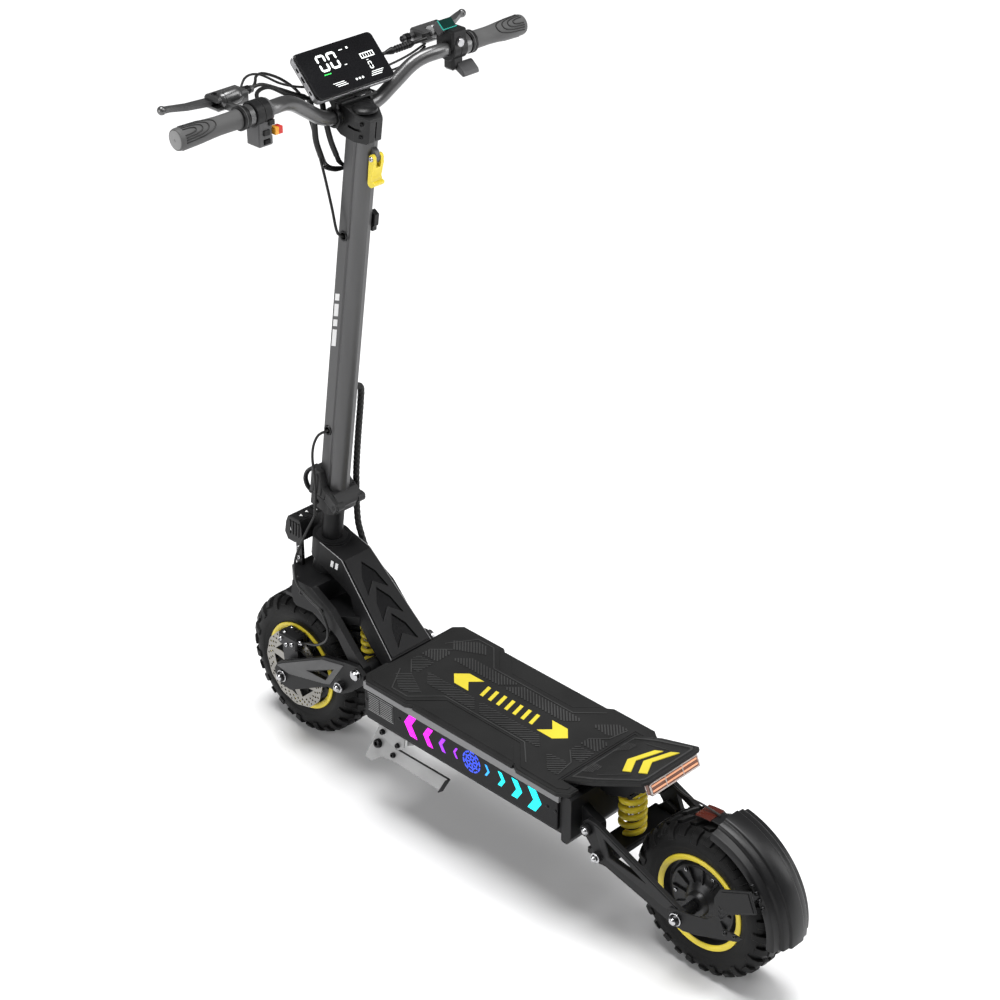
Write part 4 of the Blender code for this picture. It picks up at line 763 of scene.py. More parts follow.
def swing_arms():
    refine("front_swing_arm", PAINT, 0.0024, 3, name="arm_front")
    outline = [(-0.012, 0.144), (0.004, 0.1545), (0.036, 0.1722), (0.106, 0.2105),
                 (0.158, 0.2225), (0.1225, 0.169), (0.108, 0.1635), (0.018, 0.14)]
    arm_faces("arm_front_face", "front_arm", outline, [
              (0.064, 0.169), (0.134, 0.204), (0.112, 0.172)], 0.0789, FACE)
    refine("rear_swing_arm", PAINT, 0.0024, 3, name="arm_rear")
    outline = [(0.715, 0.2055), (0.724, 0.2045), (0.876, 0.1445),
                 (0.89, 0.137), (0.856, 0.133), (0.745, 0.156), (0.733, 0.162)]
    arm_faces("arm_rear_face", "rear_arm", outline, [
              (0.735, 0.192), (0.82, 0.156), (0.747, 0.163)], 0.0839, ARM_DARK)
    refine("front_pivot_bolt", CHROME, 0.0006, 2, name="pivot_bolt_front")
    heads = new()
    for s in (1, -1):
        dome_nut(heads, place(s * 0.0795, 0.19, 0.221), (s, 0, 0), 0.0082, 0.009 if s > 0 else 0.004)
        rear = new()
        dome_nut(rear, place(s * 0.0855, 0.702, 0.191), (s, 0, 0), 0.0078, 0.0095)
        piece(f"pivot_bolt_rear_{'left' if s > 0 else 'right'}",
              rear, "frame", CHROME, bevel=0.0004, angle=25)
        lower = new()
        dome_nut(lower, place(s * 0.0898, 0.7245, 0.153), (s, 0, 0), 0.0072, 0.0085)
        piece(f"shock_bolt_rear_{'left' if s > 0 else 'right'}",
              lower, "rear_arm", CHROME, bevel=0.0004, angle=25)
        low_front = new()
        dome_nut(low_front, place(s * 0.0868, 0.152, 0.181), (s, 0, 0), 0.0078, 0.009)
        piece(f"shock_bolt_front_{'left' if s > 0 else 'right'}",
              low_front, "front_arm", CHROME, bevel=0.0004, angle=25)
    piece("pivot_nuts_front", heads, "fork", CHROME, bevel=0.0004, angle=25)

    refine("front_caliper", ALLOY, 0.0014, 3, name="caliper")
    bolts = new()
    for y, z in ((-0.014, 0.19), (0.014, 0.19), (0.0, 0.184)):
        screw(bolts, place(0.066, y, z), (1, 0, 0), 0.0042, 0.003)
    for x in (0.044, 0.06):
        screw(bolts, place(x, -0.01, 0.202), (0, 0, 1), 0.0035, 0.003)
    turned(bolts, [(0, 0), (0, 0.0048), (0.003, 0.0048, 6), (0.008, 0.0048, 6), (0.01, 0.003),
           (0.016, 0.0028), (0.016, 0)], toward(place(0.058, 0.02, 0.193), (0.1, 1, 0.3)), 24)
    piece("caliper_bolts", bolts, "front_arm", CHROME)
    fins = new()
    for k in range(4):
        box(fins, (0.04, -0.016 + 0.0095 * k, 0.2015), (0.048, -0.011 + 0.0095 * k, 0.2035), PLAN)
    piece("caliper_fins", fins, "front_arm", ALLOY, bevel=0.0005)


swing_arms()


def coil(name, node, y, low, high, radius, wire, turns):
    """A thick flat-sided coil."""
    bm = new()
    steps = 36
    count = round(turns * steps)
    sides = 12
    rings = []
    for i in range(count + 1):
        angle = 2 * pi * i / steps
        height = low + wire + (high - low - 2 * wire) * i / count
        out = Vector((cos(angle), sin(angle), 0))
        centre = place(0, y, height) + out * radius
        ring = []
        for k in range(sides):
            a = 2 * pi * k / sides
            flat = wire * 1.02 * (abs(cos(a)) ** 0.7) * (1 if cos(a) > 0 else -1)
            tall = wire * 0.98 * (abs(sin(a)) ** 0.7) * (1 if sin(a) > 0 else -1)
            ring.append(bm.verts.new(centre + out * flat + Vector((0, 0, tall))))
        rings.append(ring)
    for ring, after in zip(rings, rings[1:]):
        for k in range(sides):
            m = (k + 1) % sides
            bm.faces.new((ring[k], ring[m], after[m], after[k]))
    bm.faces.new(rings[0][::-1])
    bm.faces.new(rings[-1])
    made = piece(name, bm, None, YELLOW, slot="yellow", angle=40)
    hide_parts(node)
    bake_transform(made)


def core(name, body, y, low, high, radius):
    bm = new()
    turned(bm, [(0, 0), (0, radius), (high - low, radius), (high - low, 0)],
           toward(place(0, y, low), (0, 0, 1)), 24)
    piece(name, bm, body, CHROME)


coil("spring_rear", "rear_spring", 0.717, 0.153, 0.2368, 0.0182, 0.0043, 5.3)
coil("spring_front", "front_spring", 0.14, 0.195, 0.2774, 0.0148, 0.0037, 5.3)
core("shock_shaft_rear", "frame", 0.717, 0.176, 0.237, 0.0085)
core("shock_shaft_front", "fork", 0.14, 0.215, 0.277, 0.008)

# ---------------------------------------------------------------- fork, neck and headlight


def fork_and_neck():
    refine("front_fork", PAINT, 0.003, 3, name="fork_crown")
    refine("front_fender", PLASTIC, 0.001, 2, name="fender_front")
    bolts = new()
    for s in (1, -1):
        screw(bolts, place(s * 0.07, 0.098, 0.296), (s, 0, 0), 0.004, 0.0026)
        screw(bolts, place(s * 0.07, 0.05, 0.31), (s, 0, 0), 0.004, 0.0026)
        screw(bolts, place(s * 0.023, -0.002, 0.31), (0, -1, 0), 0.0035, 0.0022)
    piece("fork_bolts", bolts, "fork", BLACK_BOLT)

    refine("neck_frame", PAINT, 0.0022, 3, name="neck")
    refine("neck_cover", PAINT, 0.0008, 2, name="neck_panel")
    recolour("head_bearing_upper", ALLOY)
    recolour("head_bearing_lower", ALLOY)

    top, bottom = place(0, 0.1075, 0.379), place(0, 0.2345, 0.252)
    # Thin light grey rods along the neck's top edges: a painted highlight where light catches the edges
    for s, word in SIDES:
        edge = new()
        path = [top + Vector((s * 0.0306, 0, 0.0004)), bottom + Vector((s * 0.0436, 0, 0.0004))]
        tube(edge, smooth([path[0], path[0].lerp(path[1], 0.5), path[1]], 0.02), 0.0007, 8)
        front = place(s * 0.0308, 0.056, 0.3916)
        tube(edge, smooth([front, front.lerp(path[0], 0.5), path[0]], 0.02), 0.0007, 8)
        piece(f"neck_edge_highlight_{word}", edge, "frame", RAIL)
    # Thin gloss black sheets on the sloped top panel: painted shade standing in for recesses
    shadow = new()
    lean = Vector((0, 1, -1)).normalized()
    normal = Vector((0, 1, 1)).normalized()
    panel = Matrix.Translation(top + normal * 0.0002) @ Matrix((Vector((1, 0, 0)),
                               lean, normal)).transposed().to_4x4()
    for tip in (0.016, 0.064, 0.113):
        outline = [(0.0, tip), (0.015, tip + 0.024), (0.022, tip + 0.055),
                   (0.0, tip + 0.036), (-0.022, tip + 0.055), (-0.015, tip + 0.024)]
        prism(shadow, outline, -0.0001, 0.0004, panel)
    piece("neck_recess_shade", shadow, "frame", GLOSS)

    for s, word in SIDES:
        # The sides lean outwards towards the deck, but the marks lie in an upright plane at a fixed distance
        # from the middle
        mark = new()
        low, high = sorted((s * 0.0305, s * 0.0318))
        for y in (0.08, 0.091):
            bar = [(y + 0.003, 0.369), (y + 0.009, 0.369), (y + 0.006, 0.357), (y, 0.357)]
            prism(mark, bar, low, high, SIDE)
        piece(f"neck_mark_{word}", mark, "frame", WHITE_PRINT)


def neck_skirts():
    """The neck's side walls below its sloped top, which flare with it towards the deck."""
    outline = [(0.124, 0.333), (0.133, 0.304), (0.15, 0.278), (0.176, 0.252),
                 (0.214, 0.225), (0.2262, 0.216), (0.23, 0.24), (0.22, 0.258)]
    for s, word in SIDES:
        bm = new()
        loops = []
        for inset in (0.0002, 0.0032):
            loops.append([bm.verts.new(place(s * (0.031 + 0.1024 * (y - 0.1075) - inset), y, z))
                         for y, z in outline])
        bm.faces.new(loops[0])
        bm.faces.new(loops[1][::-1])
        for i in range(len(outline)):
            j = (i + 1) % len(outline)
            bm.faces.new((loops[0][i], loops[1][i], loops[1][j], loops[0][j]))
        piece(f"neck_skirt_{word}", bm, "frame", PAINT, bevel=0.0006, segments=1)


def headlight():
    refine("headlight_housing", PLASTIC, 0.0012, 2, name="lamp_housing")
    refine("headlight_lens", LENS, 0.0006, 2, name="lamp_lens")
    ribs = new()
    for k in range(5):
        box(ribs, (-0.0325 + 0.0145 * k, -0.016, 0.4117), (-0.0255 + 0.0145 * k, 0.008, 0.4137), PLAN)
    for s in (1, -1):
        for k in range(4):
            near, far = sorted((s * 0.0328, s * 0.0345))
            prism(ribs, [(-0.018 + 0.007 * k, 0.38), (-0.0145 + 0.007 * k, 0.38),
                  (-0.0125 + 0.007 * k, 0.406), (-0.016 + 0.007 * k, 0.406)], near, far, SIDE)
    piece("lamp_ribs", ribs, "fork", PLASTIC, bevel=0.0005)
    bolts = new()
    for s in (1, -1):
        screw(bolts, place(s * 0.033, 0.005, 0.362), (s, 0, 0), 0.004, 0.0026)
        screw(bolts, place(s * 0.033, 0.005, 0.343), (s, 0, 0), 0.004, 0.0026)
    piece("lamp_bolts", bolts, "fork", CHROME)
    bright = new()
    for s in (1, -1):
        low, high = sorted((s * 0.0331, s * 0.0337))
        prism(bright, [(-0.018, 0.389), (-0.012, 0.387), (-0.013, 0.393)], low, high, SIDE)
    for x, y in ((0.017, -0.005), (0.002, -0.008), (-0.013, -0.003)):
        prism(bright, [(x, y), (x + 0.006, y + 0.002), (x + 0.002, y + 0.0065)], 0.4134, 0.4141, PLAN)
    piece("lamp_marks", bright, "fork", WHITE_PRINT)
    glow = new()
    for s in (1, -1):
        turned(glow, [(0, 0), (0, 0.0072), (0.001, 0.008), (0.0016, 0.007), (0.0006, 0.003), (0.0004, 0)],
               toward(place(s * 0.013, -0.0226, 0.387), (0, -1, 0)), 32)
    piece("lamp_reflectors", glow, "fork", CHROME)


fork_and_neck()
neck_skirts()
headlight()

# ---------------------------------------------------------------- stem


def stem():
    refine("stem_tube", STEM_GREY, 0.0008, 2, name="stem_extrusion", angle=40)
    refine("fold_collar_lower", CAST_GREY, 0.0016, 3, name="collar_lower")
    upper_body = new()
    prism(upper_body, [(-0.027, -0.0275), (0.027, -0.0275), (0.027, 0.01),
          (0.019, 0.022), (-0.019, 0.022), (-0.027, 0.01)], 0.4825, 0.496, STEM)
    for s in (1, -1):
        flank = [(-0.028, 0.4825), (0.025, 0.4825), (0.025, 0.489),
                 (0.002, 0.501), (-0.008, 0.527), (-0.028, 0.531)]
        prism(upper_body, flank, *sorted((s * 0.0185, s * 0.03)), STEM_SIDE)
        for d in (-0.024, -0.015, -0.006):
            rib = [(d, 0.485), (d + 0.0045, 0.485), (d + 0.0045, 0.508 - d * 0.6), (d, 0.514 - d * 0.6)]
            prism(upper_body, rib, *sorted((s * 0.0295, s * 0.0312)), STEM_SIDE)
    prism(upper_body, [(-0.029, 0.49), (-0.018, 0.49),
          (-0.018, 0.526), (-0.029, 0.526)], -0.02, 0.02, STEM_SIDE)
    piece(
    "collar_upper",
    upper_body,
    "stem",
    CAST_GREY,
    bevel=0.0012,
    segments=2,
     replaces=["fold_collar_upper"])
    wedge = new()
    wedge_side = [(0.018, 0.4835), (0.037, 0.479), (0.039, 0.483),
                  (0.037, 0.488), (0.022, 0.5), (0.016, 0.5)]
    prism(wedge, wedge_side, -0.0235, 0.026, STEM_SIDE)
    for low, high in ((0.0255, 0.033), (-0.026, -0.023)):
        prism(wedge, [(0.014, 0.502), (0.01, 0.4835), (0.034, 0.4715),
              (0.04, 0.481), (0.037, 0.49)], low, high, STEM_SIDE)
    piece("collar_hinge_block", wedge, "stem", CAST_GREY, bevel=0.0012, segments=2)
    lever_body = new()
    handle = [(0.0, -0.036, 0.512), (0.006, -0.047, 0.506), (0.011, -0.056, 0.495),
              (0.0125, -0.058, 0.481), (0.011, -0.053, 0.468), (0.008, -0.045, 0.461)]
    tube(lever_body, smooth([on_stem(*p) for p in handle], 0.002),
         lambda i, k: 0.0034 + 0.0008 * cos(2 * (2 * pi * k / 12)), 12)
    turned(lever_body, [(-0.012, 0), (-0.012, 0.005), (-0.01, 0.0058), (0.01, 0.0058),
           (0.012, 0.005), (0.012, 0)], toward(on_stem(0, -0.036, 0.512), (1, 0, 0)), 24)
    bmesh.ops.create_uvsphere(lever_body, u_segments=16, v_segments=10, radius=0.0052,
                              matrix=Matrix.Translation(on_stem(0.0085, -0.046, 0.462)))
    piece("latch_handle", lever_body, "fold_lever", ALLOY, replaces=["fold_lever"])
    refine("stem_hook", YELLOW, 0.0012, 3, name="hook")
    refine("bar_clamp", CAST_GREY, 0.0022, 3, name="clamp")
    bolts = new()
    for s in (1, -1):
        screw(bolts, on_stem(s * 0.03, 0.032, 0.482), (s, 0, 0), 0.005, 0.003)
        screw(bolts, on_stem(s * 0.03, 0.01, 0.487), (s, 0, 0), 0.0034, 0.0026)
    piece("collar_upper_bolts", bolts, "stem", BLACK_BOLT)
    lower_bolts = new()
    for s in (1, -1):
        screw(lower_bolts, on_stem(s * 0.03, -0.01, 0.47), (s, 0, 0), 0.0042, 0.0026)
    piece("collar_bolts", lower_bolts, "fork", BLACK_BOLT)
    bag_hook = new()
    prism(bag_hook, [(0.015, 0.97), (0.0225, 0.97), (0.0225, 0.978), (0.0255, 0.98),
          (0.0255, 0.999), (0.015, 1.004)], -0.021, -0.012, STEM_SIDE)
    piece("stem_clip", bag_hook, "stem", PLASTIC, bevel=0.001)
    cap = new()
    turned(cap, [(0, 0), (0, 0.02), (0.0035, 0.0196), (0.006, 0.0165), (0.0072, 0.01), (0.0076, 0)],
           toward(on_stem(0, -0.003, 1.1645), STEM.to_3x3() @ Vector((0, -0.12, 1))), 40)
    piece("clamp_cap", cap, "stem", PLASTIC)
    clamp_bolts = new()
    for h in (1.132, 1.152):
        for s in (1, -1):
            screw(clamp_bolts, on_stem(s * 0.0186, 0.013, h), (s * 0.8, 0.6, 0), 0.0034, 0.0022)
    piece("clamp_bolts", clamp_bolts, "stem", BLACK_BOLT)
    # A plain banded mark down the left flank of the stem
    band = new()
    for k, length in enumerate((0.03, 0.012, 0.022, 0.012)):
        start = 0.76 + sum((0.03, 0.012, 0.022, 0.012)[:k]) + 0.006 * k
        outline = [(-0.015, start), (-0.006, start + 0.004),
                   (-0.006, start + length + 0.004), (-0.015, start + length)]
        prism(band, outline, 0.0179, 0.0183, STEM_SIDE)
    piece("stem_mark", band, "stem", WHITE_PRINT)
    hook_pin = new()
    for s in (1, -1):
        screw(hook_pin, on_stem(s * 0.01, 0.03, 1.101), (s, 0, 0), 0.0042, 0.002)
    piece("hook_pin", hook_pin, "stem_hook", CHROME)
    ports = new()
    for h, d in ((0.9585, -0.0066), (0.6053, -0.0087)):
        turned(ports, [(0, 0.005), (0.0016, 0.0056), (0.0016, 0.008),
               (0, 0.0086)], toward(on_stem(0.018, d, h), (1, 0, 0)), 28)
    piece("cable_ports", ports, "stem", BLACK_BOLT)


stem()

# ---------------------------------------------------------------- handlebar and controls


def bar_frame(sign, distance):
    inner = place(sign * 0.216, 0.1518, 1.197)
    outer = place(sign * 0.331, 0.1505, 1.196)
    outward = (outer - inner).normalized()
    return toward(inner + outward * distance, outward)


def handlebar():
    corners = [(0.0, 0.131, 1.141), (0.049, 0.131, 1.141), (0.124, 0.1415, 1.193),
               (0.158, 0.1525, 1.1975), (0.331, 0.1505, 1.196)]
    corners = [place(*c) for c in corners]
    half = [corners[0]]
    for before, corner, after, reach in zip(corners, corners[1:], corners[2:], (0.02, 0.024, 0.012)):
        first = corner + (before - corner).normalized() * reach
        last = corner + (after - corner).normalized() * reach
        for k in range(8):
            t = k / 7
            half.append(first * (1 - t) ** 2 + corner * 2 * t * (1 - t) + last * t**2)
    half.append(corners[-1])
    path = [Vector((-p.x, p.y, p.z)) for p in reversed(half[1:])] + half
    bm = new()
    tube(bm, path, 0.011, 28)
    piece("bar", bm, "stem", BAR_COAT, replaces=["handlebar"])


GRIP_SHAPE = [(0.008, 0.0146), (0.011, 0.014), (0.025, 0.0137), (0.045, 0.0136),
                (0.06, 0.0144), (0.08, 0.0158), (0.1, 0.0163), (0.114, 0.016), (0.1172, 0.0152)]


def grip_radius(along):
    for (a, r), (b, t) in zip(GRIP_SHAPE, GRIP_SHAPE[1:]):
        if along <= b:
            return r + (t - r) * max(0, along - a) / (b - a)
    return GRIP_SHAPE[-1][1]


def grip(sign, word):
    """A waisted grip with nested curved ribs and a flat end cap."""
    matrix = bar_frame(sign, 0)
    profile = [(0.0002, 0.0114), (0.0002, 0.0162), (0.0012, 0.0168), (0.0062, 0.0168),
                 (0.0072, 0.016), *GRIP_SHAPE, (0.1178, 0.0144), (0.1178, 0), (0.116, 0)]
    bm = new()
    turned(bm, profile[:-1] + [(0.1157, 0), (0.1157, 0.0114)], matrix, 56)
    piece(f"grip_sleeve_{word}", bm, "stem", GRIP, replaces=[f"grip_{word}"])
    cap = new()
    turned(cap, [(0.1176, 0), (0.1176, 0.0135), (0.1184, 0.0132), (0.1186, 0.0126),
           (0.1186, 0.0024), (0.118, 0.002), (0.118, 0)], matrix, 40)
    piece(f"grip_cap_{word}", cap, "stem", CAP_GREY)
    middle = radians(48) if sign > 0 else radians(132)
    ribs = new()
    for turn_angle in (middle, middle + pi):
        for reach, rise in ((0.02, 0.3), (0.031, 0.52), (0.042, 0.74), (0.054, 0.98)):
            points = []
            for i in range(17):
                t = i / 16
                along = 0.11 - reach * (1 - abs(2 * t - 1) ** 2.6) ** 0.5
                angle = turn_angle + (2 * t - 1) * rise
                radius = grip_radius(along) + 0.0002
                points.append(matrix @ Vector((along, radius * cos(angle), radius * sin(angle))))
            tube(ribs, points, 0.001, 8)
    piece(f"grip_ribs_{word}", ribs, "stem", GRIP_DARK)
    rings = new()
    for x, r in ((-0.001, 0.0172), (0.005, 0.0176)):
        turned(rings, [(x, 0.013), (x, r - 0.0006), (x + 0.0008, r), (x + 0.004, r),
               (x + 0.0048, r - 0.0006), (x + 0.0048, 0.013)], matrix, 48)
    piece(f"grip_rings_{word}", rings, "stem", PLASTIC)


DISPLAY = Matrix.Translation(place(0, 0.1225, 1.2095)) @ Matrix.Rotation(-radians(45), 4, "X")


def rounded_rectangle(width, height, radius, steps=6):
    points = []
    for cx, cy, start in ((1, 1, 0), (-1, 1, 90), (-1, -1, 180), (1, -1, 270)):
        for k in range(steps + 1):
            a = radians(start + 90 * k / steps)
            points.append((cx * (width - radius) + radius * cos(a),
                          cy * (height - radius) + radius * sin(a)))
    return points


def digit(bm, left, low, width, height, thick, matrix, lit):
    """A digit of seven-segment strokes, those named in lit."""
    tip, end = thick * 0.42, thick * 0.92
    half = height / 2
    boxes = {
        "a": (0, height - thick, width, height),
        "d": (0, 0, width, thick),
        "g": (0, half - thick / 2, width, half + thick / 2),
        "f": (0, half, thick, height),
        "e": (0, 0, thick, half),
        "b": (width - thick, half, width, height),
        "c": (width - thick, 0, width, half),
    }
    for key in lit:
        x0, y0, x1, y1 = boxes[key]
        if key in "adg":
            middle = (y0 + y1) / 2
            outline = [(x0 + tip, middle), (x0 + end, y1), (x1 - end, y1),
                       (x1 - tip, middle), (x1 - end, y0), (x0 + end, y0)]
        else:
            middle = (x0 + x1) / 2
            outline = [(middle, y0 + tip), (x1, y0 + end), (x1, y1 - end),
                       (middle, y1 - tip), (x0, y1 - end), (x0, y0 + end)]
        prism(bm, [(left + u, low + v) for u, v in outline], 0.00005, 0.0003, matrix)


def display():
    bm = new()
    prism(bm, rounded_rectangle(0.075, 0.039, 0.0085), -0.015, -0.002, DISPLAY)
    piece("display_case", bm, "stem", PLASTIC, bevel=0.0016, segments=3)
    glass = new()
    prism(glass, rounded_rectangle(0.074, 0.038, 0.0078), -0.0022, 0.0, DISPLAY)
    piece("display_screen", glass, "stem", SCREEN, bevel=0.0008, segments=3, replaces=["display_glass"])
    bracket = new()
    for s in (1, -1):
        prism(bracket, [(0.108, 1.2), (0.128, 1.19), (0.142, 1.156), (0.136, 1.15), (0.116, 1.176)],
              *sorted((s * 0.0305, s * 0.0355)), SIDE)
        turned(bracket, [(-0.0028, 0.0116), (-0.0028, 0.0158), (0.0028, 0.0158), (0.0028, 0.0116)],
               toward(place(s * 0.033, 0.131, 1.141), (1, 0, 0)), 36)
    box(bracket, (-0.035, 0.127, 1.164), (0.035, 0.137, 1.169), PLAN)
    for y in (0.14, 0.149):
        box(bracket, (-0.0355, y, 1.1655), (0.0355, y + 0.003, 1.169), PLAN)
    for x in (-0.0355, -0.0015, 0.0325):
        box(bracket, (x, 0.135, 1.1655), (x + 0.003, 0.152, 1.169), PLAN)
    box(bracket, (-0.042, 0.136, 1.178), (0.042, 0.14, 1.1815), PLAN)
    piece("display_bracket", bracket, "stem", PLASTIC, bevel=0.001, replaces=["display_housing"])
    flip = DISPLAY @ Matrix.Rotation(pi, 4, "Z")
    # In this turned frame u runs to the rider's right and v up the screen
    lit = new()
    digit(lit, -0.043, -0.001, 0.0165, 0.027, 0.0034, flip, "abcdef")
    digit(lit, -0.0225, -0.001, 0.0165, 0.027, 0.0034, flip, "abcdef")
    digit(lit, 0.0395, -0.0175, 0.0065, 0.012, 0.0014, flip, "abcdef")
    outline = [(0.0335, 0.001), (0.059, 0.001), (0.059, 0.0095), (0.0335, 0.0095)]
    prism(lit, outline, 0.00002, 0.00012, flip)
    for k in range(3):
        for a, b in ((-0.037 + 0.003 * k, -0.016 + 0.002 * k), (0.06 - 0.003 * k, 0.038 - 0.002 * k)):
            v = -0.0225 - 0.0028 * k
            prism(lit, [(min(a, b), v), (max(a, b), v), (max(a, b), v + 0.0009),
                  (min(a, b), v + 0.0009)], 0.00005, 0.0003, flip)
    prism(lit, [(0.003, 0.0235), (0.01, 0.0235), (0.01, 0.0245), (0.003, 0.0245)], 0.00005, 0.0003, flip)
    prism(lit, rounded_rectangle(0.0016, 0.0016, 0.0006, 2), 0.00005,
          0.0003, flip @ Matrix.Translation((0.019, 0.0245, 0)))
    prism(lit, [(0.0, 0.0), (0.0045, 0.0), (0.0045, 0.001), (0.0, 0.001)], 0.00005, 0.0003, flip)
    prism(lit, [(0.04, -0.003), (0.044, -0.003), (0.044, -0.0022), (0.04, -0.0022)], 0.00005, 0.0003, flip)
    # Plain dots along the lower edge
    for u in (0.006, 0.012, 0.018):
        prism(lit, rounded_rectangle(0.0018, 0.0018, 0.0017, 3), 0.00005,
              0.0003, flip @ Matrix.Translation((u, -0.0255, 0)))
    piece("display_digits", lit, "stem", LIT)
    bars = new()
    for k in range(5):
        prism(bars, [(0.0352 + 0.0046 * k, 0.0024), (0.0386 + 0.0046 * k, 0.0024),
              (0.0386 + 0.0046 * k, 0.0081), (0.0352 + 0.0046 * k, 0.0081)], 0.0001, 0.00036, flip)
    piece("display_battery_bars", bars, "stem", SCREEN)
    green = new()
    for k in range(4):
        prism(green, [(-0.043 + 0.0034 * k, -0.0062), (-0.0406 + 0.0034 * k, -0.0062),
              (-0.04 + 0.0034 * k, -0.0046), (-0.0424 + 0.0034 * k, -0.0046)], 0.00005, 0.0003, flip)
    piece("display_green_ticks", green, "stem", LIT_GREEN)
    port = new()
    box(port, (0.0742, -0.006, -0.01), (0.0756, 0.004, -0.005), DISPLAY)
    for v in (-0.02, 0.018):
        box(port, (0.0742, v, -0.01), (0.0758, v + 0.007, -0.006), DISPLAY)
    piece("display_port", port, "stem", GLOSS, bevel=0.0004)
    trim = new()
    prism(trim, rounded_rectangle(0.0754, 0.0394, 0.0088), -0.0128, -0.0042, DISPLAY)
    piece("display_trim", trim, "stem", SILVER, bevel=0.0006)


def controls():
    refine("switch_block", GREY_PLASTIC, 0.0012, 2, name="switch_housing")
    refine("throttle_housing", PLASTIC, 0.0016, 3, name="throttle_case")
    refine("throttle_paddle", GREY_PLASTIC, 0.0012, 3, name="throttle_thumb")
    refine("horn_button", GLOSS, 0.0008, 3, name="horn_key")
    refine("power_button", CHROME, 0.0006, 3, name="power_key")
    low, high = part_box("light_switch")
    for name, x0, x1, material in (("rocker_orange", (low.x + high.x) / 2,
                                   high.x, ORANGE), ("rocker_red", low.x, (low.x + high.x) / 2, RED)):
        bm = new()
        box(bm, (x0, low.y, low.z), (x1, high.y, high.z), Matrix.Identity(4))
        made = piece(name, bm, "light_switch", material, bevel=0.0008, segments=3)
        if name == "rocker_red":
            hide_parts("light_switch")
    hub = new()
    for sign, low, high in ((1, 0.177, 0.204), (-1, 0.1745, 0.203)):
        across = toward(place(sign * low, 0.1516, 1.1972), (sign, 0, 0))
        wide = high - low
        turned(hub, [(0, 0.011), (0, 0.0178), (0.0012, 0.019), (wide *
    0.46, 0.019), (wide *
    0.48, 0.0182), (wide *
    0.52, 0.0182), (wide *
    0.54, 0.019), (wide -
     0.0012, 0.019), (wide, 0.0178), (wide, 0.011)], across, 40)
    piece("control_clamps", hub, "stem", PLASTIC)
    tilt = Matrix.Translation(place(-0.18, 0.148, 1.234)) @ Matrix.Rotation(-radians(42), 4, "X")
    shell, screen = new(), new()
    prism(shell, rounded_rectangle(0.0142, 0.0088, 0.002), -0.015, 0.0, tilt)
    piece("throttle_screen_case", shell, "stem", GREY_PLASTIC, bevel=0.0008, segments=2)
    prism(screen, rounded_rectangle(0.0134, 0.008, 0.0014), -0.001, 0.0012, tilt)
    piece("throttle_screen", screen, "stem", GREEN_GLASS, bevel=0.0006, segments=2)
    # The top and right edges of the throttle's glass glow teal: a painted glint
    rim = new()
    prism(rim, [(-0.014, 0.008), (0.0138, 0.008), (0.0138, 0.0087), (-0.014, 0.0087)], -0.0004, 0.0013, tilt)
    prism(rim, [(0.0132, -0.0086), (0.0139, -0.0086),
          (0.0139, 0.0084), (0.0132, 0.0084)], -0.0004, 0.0013, tilt)
    piece("throttle_screen_edge_glow", rim, "stem", TEAL_PAINTED_GLOW)
    ring = new()
    turned(ring, [(0, 0.0068), (0, 0.0098), (0.003, 0.0092), (0.0034, 0.008),
           (0.0034, 0.0068)], toward(place(-0.188, 0.166, 1.208), (0, 1, 0)), 32)
    piece("power_ring", ring, "stem", PLASTIC)
    keys = new()
    for x, z, w, h in ((0.18, 1.1845, 0.005, 0.0038), (0.1895, 1.1715, 0.0055, 0.004)):
        box(keys, (x - w, 0.1675, z - h), (x + w, 0.1706, z + h), PLAN)
    piece("switch_keys", keys, "stem", PLASTIC, bevel=0.0008, segments=2)
    for sign, side in SIDES:
        refine(f"lever_perch_{side}", BAR_COAT, 0.0016, 3, name=f"perch_{side}")
        refine(f"brake_lever_{side}", BAR_COAT, 0.0022, 3, name=f"lever_blade_{side}")
        reservoir = new()
        profile = [(0, 0), (0, 0.008), (0.0006, 0.01), (0.002, 0.0112), (0.006, 0.0116), (0.0065, 0.0108),
                   (0.0085, 0.0108), (0.009, 0.0118), (0.026, 0.0118), (0.031, 0.0108), (0.0345, 0.008),
                   (0.035, 0)]
        turned(reservoir, profile,
               toward(place(sign * 0.216, 0.1, 1.206), (-sign, 0.25, 0.18)), 40)
        piece(f"perch_reservoir_{side}", reservoir, "stem", BAR_COAT)
        parts = new()
        screw(parts, place(sign * 0.215, 0.09, 1.213), (0, 0, 1), 0.0046, 0.0026)
        screw(parts, place(sign * 0.186, 0.1, 1.213), (0, 0, 1), 0.0036, 0.0022)
        piece(f"perch_bolts_{side}", parts, "stem", BLACK_BOLT)
        barrel = new()
        profile = [(0, 0.0024), (0, 0.0058), (0.001, 0.0066), (0.008, 0.0066),
                   (0.009, 0.0056), (0.01, 0.005), (0.015, 0.0046), (0.016, 0.0024)]
        turned(barrel, profile, toward(place(sign * 0.16, 0.087, 1.2036), (-sign, 0, -0.04)), 20)
        piece(f"barrel_adjuster_{side}", barrel, "stem", BLACK_BOLT)
        bead = new()
        bmesh.ops.create_uvsphere(bead, u_segments=20, v_segments=12, radius=0.0066,
                                  matrix=Matrix.Translation(place(sign * 0.2905, 0.0668, 1.204)))
        piece(f"lever_ball_{side}", bead, f"brake_lever_{side}", BAR_COAT)


handlebar()
for side_sign, side_word in SIDES:
    grip(side_sign, side_word)
display()
controls()

# ---------------------------------------------------------------- cables


def route(name, points, radius, body, sides=12, replaces=(), other=None):
    """A cable on a curve through points of the scooter's plan; where it crosses a joint it rides on no body.
    """
    bm = new()
    tube(bm, smooth([place(*p) for p in points], 0.006), radius, sides)
    made = piece(name, bm, None if other else body, CABLE, slot="cable", angle=50)
    for node in replaces:
        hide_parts(node)
    if other:
        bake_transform(made)


